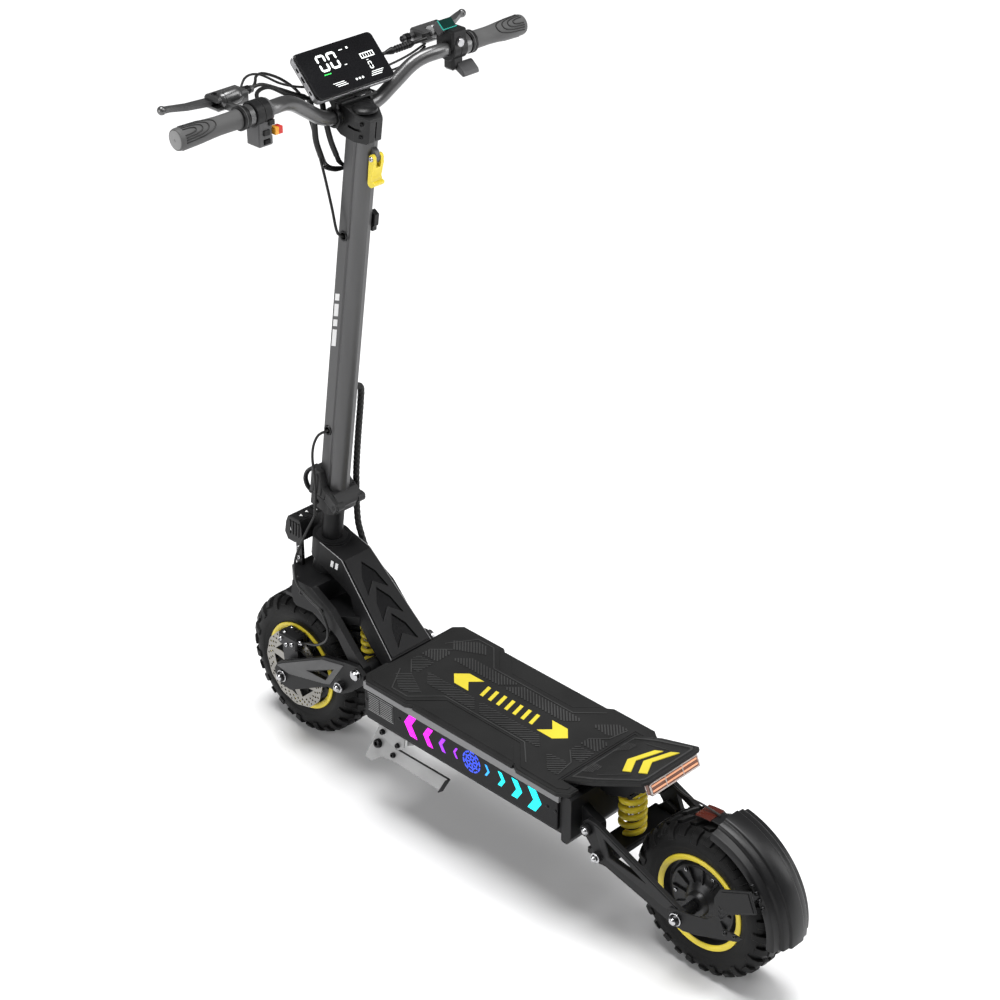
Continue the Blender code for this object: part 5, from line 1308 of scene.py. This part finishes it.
def braid(name, points, replaces=()):
    """A woven sleeve, with its crossing strands in the mesh."""
    path = smooth([place(*p) for p in points], 0.0011)
    bm = new()

    def radius(i, k):
        one = cos(2 * pi * (k / 24 * 4 + i / 9))
        two = cos(2 * pi * (k / 24 * 4 - i / 9))
        return 0.0049 + 0.00075 * max(one, two)

    tube(bm, path, radius, 24)
    made = piece(name, bm, None, BRAID, slot="cable", angle=80)
    for node in replaces:
        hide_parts(node)
    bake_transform(made)


def cables():
    upper = [
        (0.145, 0.0868, 1.2029), (0.133, 0.08, 1.207), (0.123, 0.071, 1.212), (0.105, 0.068, 1.21),
        (0.08, 0.078, 1.196), (0.06, 0.092, 1.172), (0.05, 0.098, 1.135), (0.044, 0.103, 1.1),
        (0.036, 0.1, 1.075), (0.032, 0.106, 1.04), (0.029, 0.115, 0.995), (0.028, 0.124, 0.957),
        (0.018, 0.1265, 0.9485), (0.007, 0.1255, 0.94), (0.002, 0.118, 0.9), (0.0, 0.105, 0.78),
        (0.002, 0.085, 0.65), (0.004, 0.0765, 0.616), (0.01, 0.0738, 0.603), (0.0178, 0.0732, 0.6),
    ]
    route("brake_hose_upper", upper, 0.0022, "stem", replaces=["front_brake_cable_upper"])
    top = [(0.0178, 0.0732, 0.6), (0.03, 0.06, 0.588),
           (0.035, 0.052, 0.555), (0.037, 0.058, 0.5), (0.044, 0.062, 0.45)]
    route(
    "brake_hose_middle",
    top,
    0.0022,
    "fork",
    replaces=["front_brake_cable_lower"],
    other="stem")
    low = [
        (0.044, 0.062, 0.45), (0.056, 0.045, 0.405), (0.07, 0.038, 0.365), (0.076, 0.048, 0.33),
        (0.076, 0.076, 0.312), (0.076, 0.105, 0.3), (0.077, 0.12, 0.275), (0.074, 0.112, 0.248),
        (0.068, 0.082, 0.222), (0.06, 0.048, 0.205), (0.056, 0.029, 0.195),
    ]
    route(
    "brake_hose_lower",
    low,
    0.0022,
    "fork",
    other="front_arm")

    loom_top = [(-0.016, 0.0985, 0.6765), (-0.029, 0.1, 0.669), (-0.0345, 0.093, 0.64), (-0.037,
                  0.083, 0.585), (-0.0385, 0.0765, 0.545), (-0.039, 0.0719, 0.505), (-0.0395, 0.07, 0.475)]
    braid("loom_upper", loom_top,
          ["main_loom"])
    loom_low = [(-0.0395, 0.07, 0.475), (-0.0395, 0.0695, 0.45), (-0.04, 0.0705, 0.409),
                  (-0.0415, 0.077, 0.382), (-0.0405, 0.085, 0.364), (-0.0315, 0.086, 0.359)]
    braid("loom_lower", loom_low)

    # Bundles under the bar: a sleeve over each, and its wires coming out below
    first = [(0.056, 0.106, 1.17), (0.05, 0.1073, 1.1347), (0.048, 0.1077, 1.1034), (0.043, 0.1116, 1.0783)]
    second = [(0.0325, 0.106, 1.16), (0.0315, 0.112, 1.13), (0.027, 0.116, 1.1), (0.017, 0.116, 1.074)]
    route("bundle_sleeve_left", first, 0.0046, "stem", replaces=["bar_harness"])
    route("bundle_sleeve_right", second, 0.0044, "stem")
    for k, shift in enumerate((-0.003, 0.0, 0.003)):
        points = [(0.043 +
    shift, 0.1116, 1.08), (0.038 +
    shift, 0.113, 1.066 -
    k *
    0.002), (0.024, 0.1165 +
    shift, 1.057 -
    k *
    0.002), (0.008, 0.12 +
    shift, 1.053), (0.001 *
     k, 0.128, 1.0522)]
        route(f"bundle_wire_left_{k}", points, 0.0017, "stem", sides=8)
        points = [(0.017 + shift * 0.8, 0.116, 1.076), (0.013 + shift, 0.1165, 1.064),
                  (0.006 + shift * 0.5, 0.12, 1.056), (0.0, 0.1285, 1.0522 + shift * 0.4)]
        route(f"bundle_wire_right_{k}", points, 0.0016, "stem", sides=8)
    # Wires from the left controls to the display and the bundles
    route("wire_left_loop", [(0.176, 0.096, 1.207), (0.15, 0.08, 1.219), (0.125, 0.08, 1.217),
          (0.1, 0.093, 1.201), (0.08, 0.102, 1.193), (0.06, 0.108, 1.188)], 0.0018, "stem", sides=8)
    route("wire_switch", [(0.18, 0.145, 1.201), (0.16, 0.116, 1.208), (0.13, 0.106, 1.206),
          (0.1, 0.108, 1.188), (0.075, 0.108, 1.176), (0.056, 0.106, 1.17)], 0.003, "stem", sides=10)
    route("hose_left", [(0.15, 0.088, 1.204), (0.13, 0.09, 1.206), (0.105, 0.098, 1.195), (0.08,
          0.102, 1.182), (0.06, 0.1045, 1.172), (0.052, 0.1065, 1.15)], 0.0026, "stem", sides=10)
    # Wires and the connector from the right controls
    connector = new()
    start, end = place(-0.148, 0.108, 1.202), place(-0.102, 0.098, 1.196)
    axis = toward(start, end - start)
    length = (end - start).length
    profile = [(0, 0), (0, 0.004), (0.004, 0.0056)]
    for k in range(6):
        x = 0.006 + k * 0.0045
        profile += [(x, 0.0058), (x + 0.0018, 0.0058), (x + 0.0024, 0.0046), (x + 0.0038, 0.0046)]
    profile += [(0.036, 0.0058), (0.04, 0.005), (length, 0.003), (length, 0)]
    turned(connector, profile, axis, 24)
    piece("connector_right", connector, "stem", PLASTIC)
    route("wire_connector", [(-0.103, 0.098, 1.196), (-0.085, 0.096, 1.194),
          (-0.068, 0.1, 1.192)], 0.0028, "stem", sides=10)
    route("wire_connector_in", [(-0.17, 0.115, 1.205), (-0.16, 0.11, 1.203),
          (-0.148, 0.108, 1.202)], 0.003, "stem", sides=10)
    for k, sag in enumerate((0.0, 0.012, 0.022)):
        route(f"wire_right_{k}",
    [(-0.172,
    0.11,
    1.196 - 0.004 * k),
    (-0.14,
    0.108 - 0.003 * k,
    1.186 - sag),
    (-0.105,
    0.106,
    1.18 - sag * 0.8),
    (-0.06,
    0.108,
    1.178)],
    0.0018,
    "stem",
     sides=8)
    # The lead from under the kick plate to the small lens on the rear fender
    lead = [(-0.01, 0.779, 0.27), (-0.008, 0.795, 0.266), (-0.005, 0.818, 0.265),
            (0.0, 0.848, 0.271), (0.0, 0.87, 0.27), (0.0, 0.885, 0.269)]
    route(
    "wire_tail",
    lead,
    0.0016,
    "frame",
    sides=8,
    other="rear_arm")
    side_wire = [(0.05, 0.66, 0.222), (0.052, 0.67, 0.212), (0.054, 0.69, 0.201), (0.056, 0.706, 0.186)]
    route(
    "wire_motor",
    side_wire,
    0.0018,
    "frame",
    sides=8,
    other="rear_arm")


cables()

# ---------------------------------------------------------------- deck


def clip(points, zone):
    """The stretch of a line inside a convex zone, or None."""
    (x0, y0), (x1, y1) = points
    low, high = 0.0, 1.0
    count = len(zone)
    area = sum(zone[i][0] * zone[(i + 1) %
    count][1] - zone[(i + 1) %
     count][0] * zone[i][1] for i in range(count))
    for i in range(count):
        ax, ay = zone[i]
        bx, by = zone[(i + 1) % count]
        nx, ny = (ay - by, bx - ax) if area > 0 else (by - ay, ax - bx)
        start = (x0 - ax) * nx + (y0 - ay) * ny
        slope = (x1 - x0) * nx + (y1 - y0) * ny
        if abs(slope) < 1e-12:
            if start < 0:
                return None
            continue
        t = -start / slope
        if slope > 0:
            low = max(low, t)
        else:
            high = min(high, t)
    if high - low < 0.002:
        return None
    return (x0 + (x1 - x0) * low, y0 + (y1 - y0) * low), (x0 + (x1 - x0) * high, y0 + (y1 - y0) * high)


def ribs(bm, zone, direction, pitch, width, low, high, matrix):
    """Parallel ribs that fill a convex zone."""
    dx, dy = direction
    length = hypot(dx, dy)
    dx, dy = dx / length, dy / length
    nx, ny = -dy, dx
    spans = [x * nx + y * ny for x, y in zone]
    offset = min(spans) + pitch / 2
    while offset < max(spans):
        cx, cy = nx * offset, ny * offset
        found = clip([(cx - dx, cy - dy), (cx + dx, cy + dy)], zone)
        if found:
            (ax, ay), (bx, by) = found
            wx, wy = nx * width / 2, ny * width / 2
            prism(bm, [(ax - wx, ay - wy), (bx - wx, by - wy),
                  (bx + wx, by + wy), (ax + wx, ay + wy)], low, high, matrix)
        offset += pitch


def both_sides(outline):
    return [outline, [(-x, y) for x, y in reversed(outline)]]


def deck():
    refine("deck_tray", PAINT, 0.0012, 2, name="tray")
    refine("deck_plate", RAIL, 0.001, 2, name="rails")
    refine("deck_mat", MAT, 0, name="mat_base")
    refine("battery_pack", BLUE_WRAP, 0, name="battery")
    recolour("motor_controller", CAST_GREY)
    refine("side_light_left", GLOSS, 0.0006, 2, name="side_panel_left")
    refine("side_light_right", GLOSS, 0.0006, 2, name="side_panel_right")
    refine("rear_end_cap", PAINT, 0.002, 3, name="end_casting")

    top = 0.2509
    plateau = new()
    half = [(0.044, 0.243), (0.093, 0.24), (0.103, 0.252), (0.103, 0.333), (0.0585, 0.3765), (0.0585, 0.537),
            (0.096, 0.5745), (0.102, 0.58), (0.102, 0.656), (0.093, 0.669), (0.086, 0.669), (0.086, 0.642)]
    prism(plateau, mirrored(half), top, top + 0.0016, PLAN)
    piece("mat_plateau", plateau, "frame", MAT, bevel=0.001, segments=2)
    low = new()
    for outline in both_sides([(0.066, 0.398), (0.066, 0.529), (0.096, 0.559),
                              (0.0995, 0.559), (0.0995, 0.364)]):
        prism(low, outline, top, top + 0.0009, PLAN)
    piece("mat_side_pads", low, "frame", MAT, bevel=0.0006, segments=2)
    # The mat's sloped edge between its steps
    edge = new()
    across = PLAN @ Matrix(((1, 0, 0, 0), (0, 0, -1, 0), (0, 1, 0, 0), (0, 0, 0, 1)))
    for s in (1, -1):
        prism(edge, [(s * 0.0995, 0.25), (s * 0.102, 0.251), (s * 0.106, 0.247),
              (s * 0.1064, 0.2434), (s * 0.1034, 0.2434)], -0.566, -0.348, across)
    piece("mat_edges", edge, "frame", MAT, bevel=0.0006, segments=1)
    # Long creases on the plateau, each a shallow raised welt, made lighter than the mat as painted light
    welts = new()
    lines = [
        [(0.05, 0.262), (0.096, 0.292), (0.096, 0.327), (0.054, 0.369), (0.054, 0.542), (0.09, 0.58)],
        [(0.02, 0.256), (0.046, 0.283)],
        [(0.02, 0.605), (0.042, 0.628), (0.078, 0.634)],
    ]
    for line in lines:
        for s in (1, -1):
            for (ax, ay), (bx, by) in zip(line, line[1:]):
                length = hypot(bx - ax, by - ay)
                nx, ny = -(by - ay) / length * 0.0009, (bx - ax) / length * 0.0009
                outline = [(s * (ax - nx), ay - ny), (s * (bx - nx), by - ny),
                           (s * (bx + nx), by + ny), (s * (ax + nx), ay + ny)]
                prism(welts, outline, top + 0.0012, top + 0.0027, PLAN)
    piece("mat_welts", welts, "frame", MAT_RIDGE_PAINTED_LIGHT)
    # The hatch ribs are lighter than the mat around them: painted light
    hatch = new()
    zones = [
        ([(0.046, 0.283), (0.064, 0.265), (0.09, 0.3), (0.09, 0.316), (0.074, 0.336)], (-1, 1)),
        ([(0.026, 0.3), (0.05, 0.324), (0.05, 0.43), (0.026, 0.406)], (-1, 1)),
        ([(0.026, 0.416), (0.05, 0.44), (0.05, 0.57), (0.026, 0.546)], (-1, 1)),
        ([(0.05, 0.584), (0.08, 0.614), (0.08, 0.632), (0.056, 0.632), (0.046, 0.62)], (-1, 1)),
        ([(0.003, 0.256), (0.018, 0.256), (0.038, 0.276), (0.038, 0.29), (0.003, 0.29)], (-1, 1)),
        ([(0.003, 0.605), (0.018, 0.605), (0.032, 0.62), (0.032, 0.638), (0.003, 0.638)], (-1, 1)),
    ]
    for zone, (dx, dy) in zones:
        for s in (1, -1):
            outline = [(s * x, y) for x, y in zone]
            if s < 0:
                outline = outline[::-1]
            ribs(hatch, outline, (s * dx, dy), 0.0046, 0.0022, top + 0.0012, top + 0.003, PLAN)
    piece("mat_hatching", hatch, "frame", MAT_RIDGE_PAINTED_LIGHT)

    arrows = new()
    prism(arrows, [(0, 0.3331), (0.0175, 0.3515), (0.0178, 0.3835), (0, 0.366),
          (-0.0178, 0.3835), (-0.0175, 0.3515)], top + 0.001, top + 0.0022, PLAN)
    prism(arrows, [(0, 0.5819), (-0.0175, 0.565), (-0.0175, 0.532), (0, 0.549),
          (0.0175, 0.532), (0.0175, 0.565)], top + 0.001, top + 0.0022, PLAN)
    for k in range(7):
        y = 0.396 + 0.0178 * k
        prism(arrows, [(0.013, y + 0.008), (0.013, y + 0.015), (-0.013, y + 0.008),
              (-0.013, y + 0.001)], top + 0.001, top + 0.0022, PLAN)
    piece("mat_arrows", arrows, "frame", YELLOW_PRINT, bevel=0.0003, segments=1)


DASHES = 10


def side_panels():
    x = 0.105
    chevrons = [
        ("magenta_a", MAGENTA, -1, 0.329, 0.211, 0.0158, 0.021),
        ("magenta_b", MAGENTA, -1, 0.3716, 0.2085, 0.0115, 0.017),
        ("magenta_c", VIOLET, -1, 0.4065, 0.2095, 0.0075, 0.0125),
        ("violet", VIOLET, -1, 0.4387, 0.2094, 0.004, 0.0095),
        ("azure_a", AZURE, 1, 0.5179, 0.2105, 0.004, 0.0098),
        ("azure_b", CYAN, 1, 0.5511, 0.21, 0.0075, 0.0125),
        ("cyan_a", CYAN, 1, 0.5871, 0.209, 0.012, 0.0165),
        ("cyan_b", CYAN, 1, 0.6274, 0.2085, 0.0165, 0.0195),
    ]
    for s, word in SIDES:
        near, far = sorted((s * x, s * (x + 0.0005)))
        for name, material, way, tip, z, width, tall in chevrons:
            lean = tall * 0.62
            bend, back, end = tip - way * lean, tip - way * width, tip - way * (lean + width)
            outline = [(tip, z), (bend, z + tall), (end, z + tall),
                       (back, z), (end, z - tall), (bend, z - tall)]
            bm = new()
            prism(bm, outline, near, far, SIDE)
            piece(f"light_{name}_{word}", bm, "frame", material)
        wheel = new()
        centre = place(s * x, 0.4788, 0.21)
        for k in range(DASHES):
            span = 2 * pi / DASHES
            angles = [k * span + span * 0.78 * i / 6 for i in range(7)]
            arc = [(0.0165, a) for a in angles] + [(0.019, a) for a in reversed(angles)]
            prism(wheel, [(0.4788 + r * cos(a), 0.21 + r * sin(a)) for r, a in arc], near, far, SIDE)
        for r0, r1 in ((0.0105, 0.0125), (0.003, 0.0048)):
            turned(wheel, [(0, r0), (0, r1), (0.0005, r1), (0.0005, r0)], toward(centre, (s, 0, 0)), 48)
        for k in range(8):
            a = 2 * pi * k / 8 + 0.2
            c, d = cos(a), sin(a)
            outline = []
            for along, across in ((0.0055, 0.001), (0.015, 0.0016), (0.015, -0.0016), (0.0055, -0.001)):
                outline.append((0.4788 + c * along - d * across, 0.21 + d * along + c * across))
            prism(wheel, outline, near, far, SIDE)
        piece(f"light_wheel_{word}", wheel, "frame", BLUE)
        screws = new()
        for y in (0.3175, 0.6393, 0.656, 0.242):
            screw(screws, place(s * x, y, 0.2105), (s, 0, 0), 0.0026, 0.0014)
        piece(f"side_screws_{word}", screws, "frame", BLACK_BOLT)
    # A plain plate at the front of the left side, with fine rules instead of words
    plate = new()
    prism(plate, [(0.244, 0.1925), (0.304, 0.1925), (0.304, 0.227), (0.244, 0.227)], 0.105, 0.1054, SIDE)
    piece("rating_plate", plate, "frame", PLASTIC)
    rules = new()
    for k in range(8):
        z = 0.196 + 0.0036 * k
        prism(rules, [(0.247, z), (0.27, z), (0.27, z + 0.0009), (0.247, z + 0.0009)], 0.1053, 0.1056, SIDE)
        prism(rules, [(0.273, z), (0.3, z), (0.3, z + 0.0009), (0.273, z + 0.0009)], 0.1053, 0.1056, SIDE)
    for z in (0.1932, 0.2255):
        prism(rules, [(0.2446, z), (0.3034, z), (0.3034, z + 0.0008),
              (0.2446, z + 0.0008)], 0.1053, 0.1056, SIDE)
    piece("rating_rules", rules, "frame", LABEL_WHITE)


def tail():
    slope = atan(0.416)
    rise = Matrix.Translation(place(0, 0.648, 0.2518)) @ Matrix.Rotation(slope, 4, "X")
    refine("tail_plate", MAT, 0.0022, 3, name="kick_plate")
    # The kick plate's frame lines and ridges are lighter than the plate: painted light
    frame_lines = new()
    half = [(0.07, 0.008), (0.07, 0.056), (0.058, 0.143), (0.052, 0.149)]
    inner = [(0.066, 0.011), (0.066, 0.056), (0.0545, 0.14), (0.05, 0.145)]
    outer_line = mirrored(half)
    inner_line = mirrored(inner)
    for i in range(len(outer_line)):
        j = (i + 1) % len(outer_line)
        prism(frame_lines, [outer_line[i], outer_line[j],
              inner_line[j], inner_line[i]], -0.0006, 0.0012, rise)
    for s in (1, -1):
        prism(frame_lines, [(s * 0.054, 0.048), (s * 0.0555, 0.048),
              (s * 0.0425, 0.1085), (s * 0.041, 0.108)][:: s], -0.0004, 0.001, rise)
    piece("kick_plate_frame", frame_lines, "frame", MAT_RIDGE_PAINTED_LIGHT, bevel=0.0005, segments=1)
    ridges = new()
    for s in (1, -1):
        zone = [(s * 0.02, 0.006), (s * 0.05, 0.006), (s * 0.05, 0.035), (s * 0.03, 0.035)]
        ribs(ridges, zone, (s, 0.15), 0.0046, 0.0021, -0.0004, 0.0011, rise)
    piece("kick_plate_ridges", ridges, "frame", MAT_RIDGE_PAINTED_LIGHT)
    chevrons = new()
    for tip in (0.06, 0.094):
        inner, outer = tip + 0.024, tip + 0.042
        outline = [(-0.036, inner), (-0.036, outer), (0, tip + 0.018),
                   (0.036, outer), (0.036, inner), (0, tip)]
        prism(chevrons, outline, -0.0004, 0.0013, rise)
    piece("kick_plate_mark", chevrons, "frame", YELLOW_PRINT, bevel=0.0003, segments=1)

    bm = new()
    prism(bm, [(-0.052, 0.14), (0.052, 0.14), (0.052, 0.153), (-0.052, 0.153)], -0.026, -0.007, rise)
    piece("tail_lamp", bm, "frame", TAIL_BODY, bevel=0.0012, segments=2, replaces=["tail_light"])
    frame_edge = new()
    for low, high in ((-0.0262, -0.0245), (-0.009, -0.0072)):
        prism(frame_edge, [(-0.0525, 0.15), (0.0525, 0.15),
              (0.0525, 0.1542), (-0.0525, 0.1542)], low, high, rise)
    for u in (-0.0525, -0.018, 0.019, 0.051):
        prism(frame_edge, [(u, 0.15), (u + 0.0015, 0.15),
              (u + 0.0015, 0.1542), (u, 0.1542)], -0.0262, -0.0072, rise)
    for v in (0.142, 0.15):
        prism(frame_edge, [(0.0515, v), (0.0525, v), (0.0525, v + 0.0014),
              (0.0515, v + 0.0014)], -0.0262, -0.0072, rise)
    piece("tail_lamp_frame", frame_edge, "frame", TAIL_LENS)
    strip = new()
    for depth in (-0.0125, -0.0205):
        prism(strip, [(-0.0495, 0.15), (0.0495, 0.15), (0.0495, 0.1538),
              (-0.0495, 0.1538)], depth - 0.0014, depth + 0.0014, rise)
    piece("tail_lamp_strips", strip, "frame", AMBER, bevel=0.0004)


deck()
side_panels()
tail()

# ---------------------------------------------------------------- rear end and kickstand


def arc_band(bm, section, start, end, steps, centre):
    rings = []
    for i in range(steps + 1):
        angle = radians(start + (end - start) * i / steps)
        rings.append([bm.verts.new(centre + Vector((x, r * cos(angle), r * sin(angle))))
                     for x, r in section])
    count = len(section)
    for ring, after in zip(rings, rings[1:]):
        for k in range(count):
            m = (k + 1) % count
            bm.faces.new((ring[k], ring[m], after[m], after[k]))
    bm.faces.new(rings[0])
    bm.faces.new(rings[-1][::-1])


def rear_end():
    centre = place(0, WHEELBASE, TYRE_RADIUS)
    fender = new()
    half = [(0.042, 0.131), (0.0422, 0.14), (0.0405, 0.1436), (0.029, 0.1458), (0.0278, 0.1502),
              (0.0258, 0.1518), (0.0155, 0.1528), (0.0143, 0.1556), (0.012, 0.1564)]
    inner = [(0.011, 0.152), (0.014, 0.15), (0.0245, 0.1485),
             (0.0265, 0.144), (0.0385, 0.141), (0.0398, 0.131)]
    section = mirrored(half) + [(-x, r) for x, r in reversed(inner)] + inner
    arc_band(fender, section, -3, 82, 40, centre)
    bracket = [
        (0.868, 0.116), (0.896, 0.113), (0.9216, 0.1207), (0.9947, 0.1518), (1.0049, 0.1635),
        (0.97, 0.161), (0.9637, 0.1718), (0.9774, 0.1908), (1.0265, 0.2198), (1.0133, 0.2532),
        (0.9603, 0.2278), (0.9504, 0.2076), (0.95, 0.1724), (0.938, 0.16), (0.9053, 0.15),
        (0.868, 0.142),
    ]
    plate = new()
    prism(plate, bracket, 0.0852, 0.0878, SIDE)
    prism(plate, [(0.984, 0.208), (0.995, 0.204), (0.9965, 0.2085), (0.987, 0.2125)], 0.0405, 0.086, SIDE)
    piece("fender_rear", fender, "rear_arm", PLASTIC, bevel=0.001, replaces=["rear_fender"], angle=38)
    piece("fender_bracket", plate, "rear_arm", PAINT, bevel=0.0009)
    raised = new()
    prism(raised, [(0.954, 0.207), (0.9625, 0.224), (1.01, 0.248), (1.022, 0.22),
          (0.976, 0.1945), (0.9625, 0.176), (0.954, 0.176)], 0.0876, 0.089, SIDE)
    piece("fender_bracket_face", raised, "rear_arm", PAINT, bevel=0.0005)
    marks = new()
    for k in range(3):
        z = 0.196 - 0.0085 * k
        prism(marks, [(0.96, z), (0.965, z - 0.0045), (0.97, z), (0.97, z + 0.0025),
              (0.965, z - 0.002), (0.96, z + 0.0025)], 0.0888, 0.0894, SIDE)
    piece("fender_bracket_marks", marks, "rear_arm", BLACK_BOLT)
    bolts = new()
    for y, z in ((0.9729, 0.156), (0.9904, 0.1602)):
        screw(bolts, place(0.0878, y, z), (1, 0, 0), 0.0038, 0.0024)
    for angle in (28, 33, 38, 43):
        a = radians(angle)
        screw(bolts, centre + Vector((0.0422, 0.137 * cos(a), 0.137 * sin(a))), (1, 0, 0), 0.0034, 0.004)
    piece("fender_bolts", bolts, "rear_arm", BLACK_BOLT)

    tab = new()
    arc_band(tab, [(0.013, 0.135), (0.013, 0.1372), (-0.013, 0.1372), (-0.013, 0.135)], 78, 104, 14, centre)
    arc_band(tab, [(0.013, 0.135), (0.013, 0.15), (-0.013, 0.15), (-0.013, 0.135)], 78, 80, 2, centre)
    piece("fender_tab", tab, "rear_arm", PLASTIC, bevel=0.0005)
    lens = new()
    arc_band(lens, [(0.017, 0.1371), (0.015, 0.1392),
             (-0.015, 0.1392), (-0.017, 0.1371)], 91, 103, 8, centre)
    piece("fender_lens", lens, "rear_arm", RED_LENS, bevel=0.0005)

    refine("kickstand_bracket", STAND_GREY, 0.001, 2, name="stand_bracket")
    hanger = new()
    prism(hanger, [(0.26, 0.1698), (0.322, 0.1698), (0.3185, 0.15),
          (0.306, 0.14), (0.286, 0.142), (0.268, 0.15)], 0.0962, 0.0992, SIDE)
    prism(hanger, [(0.3, 0.1698), (0.33, 0.1698), (0.33, 0.156),
          (0.316, 0.148), (0.316, 0.1698)], 0.086, 0.089, SIDE)
    piece("stand_hanger", hanger, "frame", STAND_GREY, bevel=0.0008)
    lean = Matrix.Translation(place(0.092, 0.261, 0.13)) @ Matrix.Rotation(-radians(15), 4, "Y")
    lean_side = lean @ SIDEWAYS
    leg = new()
    outline = [(-0.0074, 0.0254), (-0.018, -0.012), (-0.0242, -0.0345), (-0.0083, -0.036), (0.012, -0.0185),
               (0.046, -0.015), (0.148, -0.017), (0.1575, 0.0085), (0.038, 0.007), (0.012, 0.014),
               (0.002, 0.0254)]
    prism(leg, outline, 0.005, 0.0082, lean_side)
    piece("stand_leg", leg, "kickstand_leg", STAND_GREY, bevel=0.0006, replaces=["kickstand_leg"])
    foot = new()
    prism(foot, [(0.1465, -0.0172), (0.1482, -0.0172),
          (0.159, 0.0088), (0.1572, 0.0088)], 0.004, 0.015, lean_side)
    prism(foot, [(0.038, 0.0068), (0.1572, 0.0083), (0.1576, 0.01),
          (0.038, 0.0082)], 0.0048, 0.0084, lean_side)
    piece("stand_foot", foot, "kickstand_leg", BLACK_BOLT, bevel=0.0003)
    stand, moving = new(), new()
    screw(stand, place(0.0992, 0.272, 0.16), (1, 0, 0), 0.0048, 0.006)
    screw(stand, place(0.0992, 0.306, 0.15), (1, 0, 0), 0.0044, 0.005)
    piece("stand_bolts", stand, "frame", BLACK_BOLT)
    screw(moving, lean @ Vector((0.0082, 0, 0)), lean.to_3x3() @ Vector((1, 0, 0)), 0.0078, 0.007)
    screw(moving, lean @ Vector((0.0082, 0.036, -0.005)), lean.to_3x3() @ Vector((1, 0, 0)), 0.0046, 0.005)
    piece("stand_pivot_bolt", moving, "kickstand_leg", BLACK_BOLT)


rear_end()
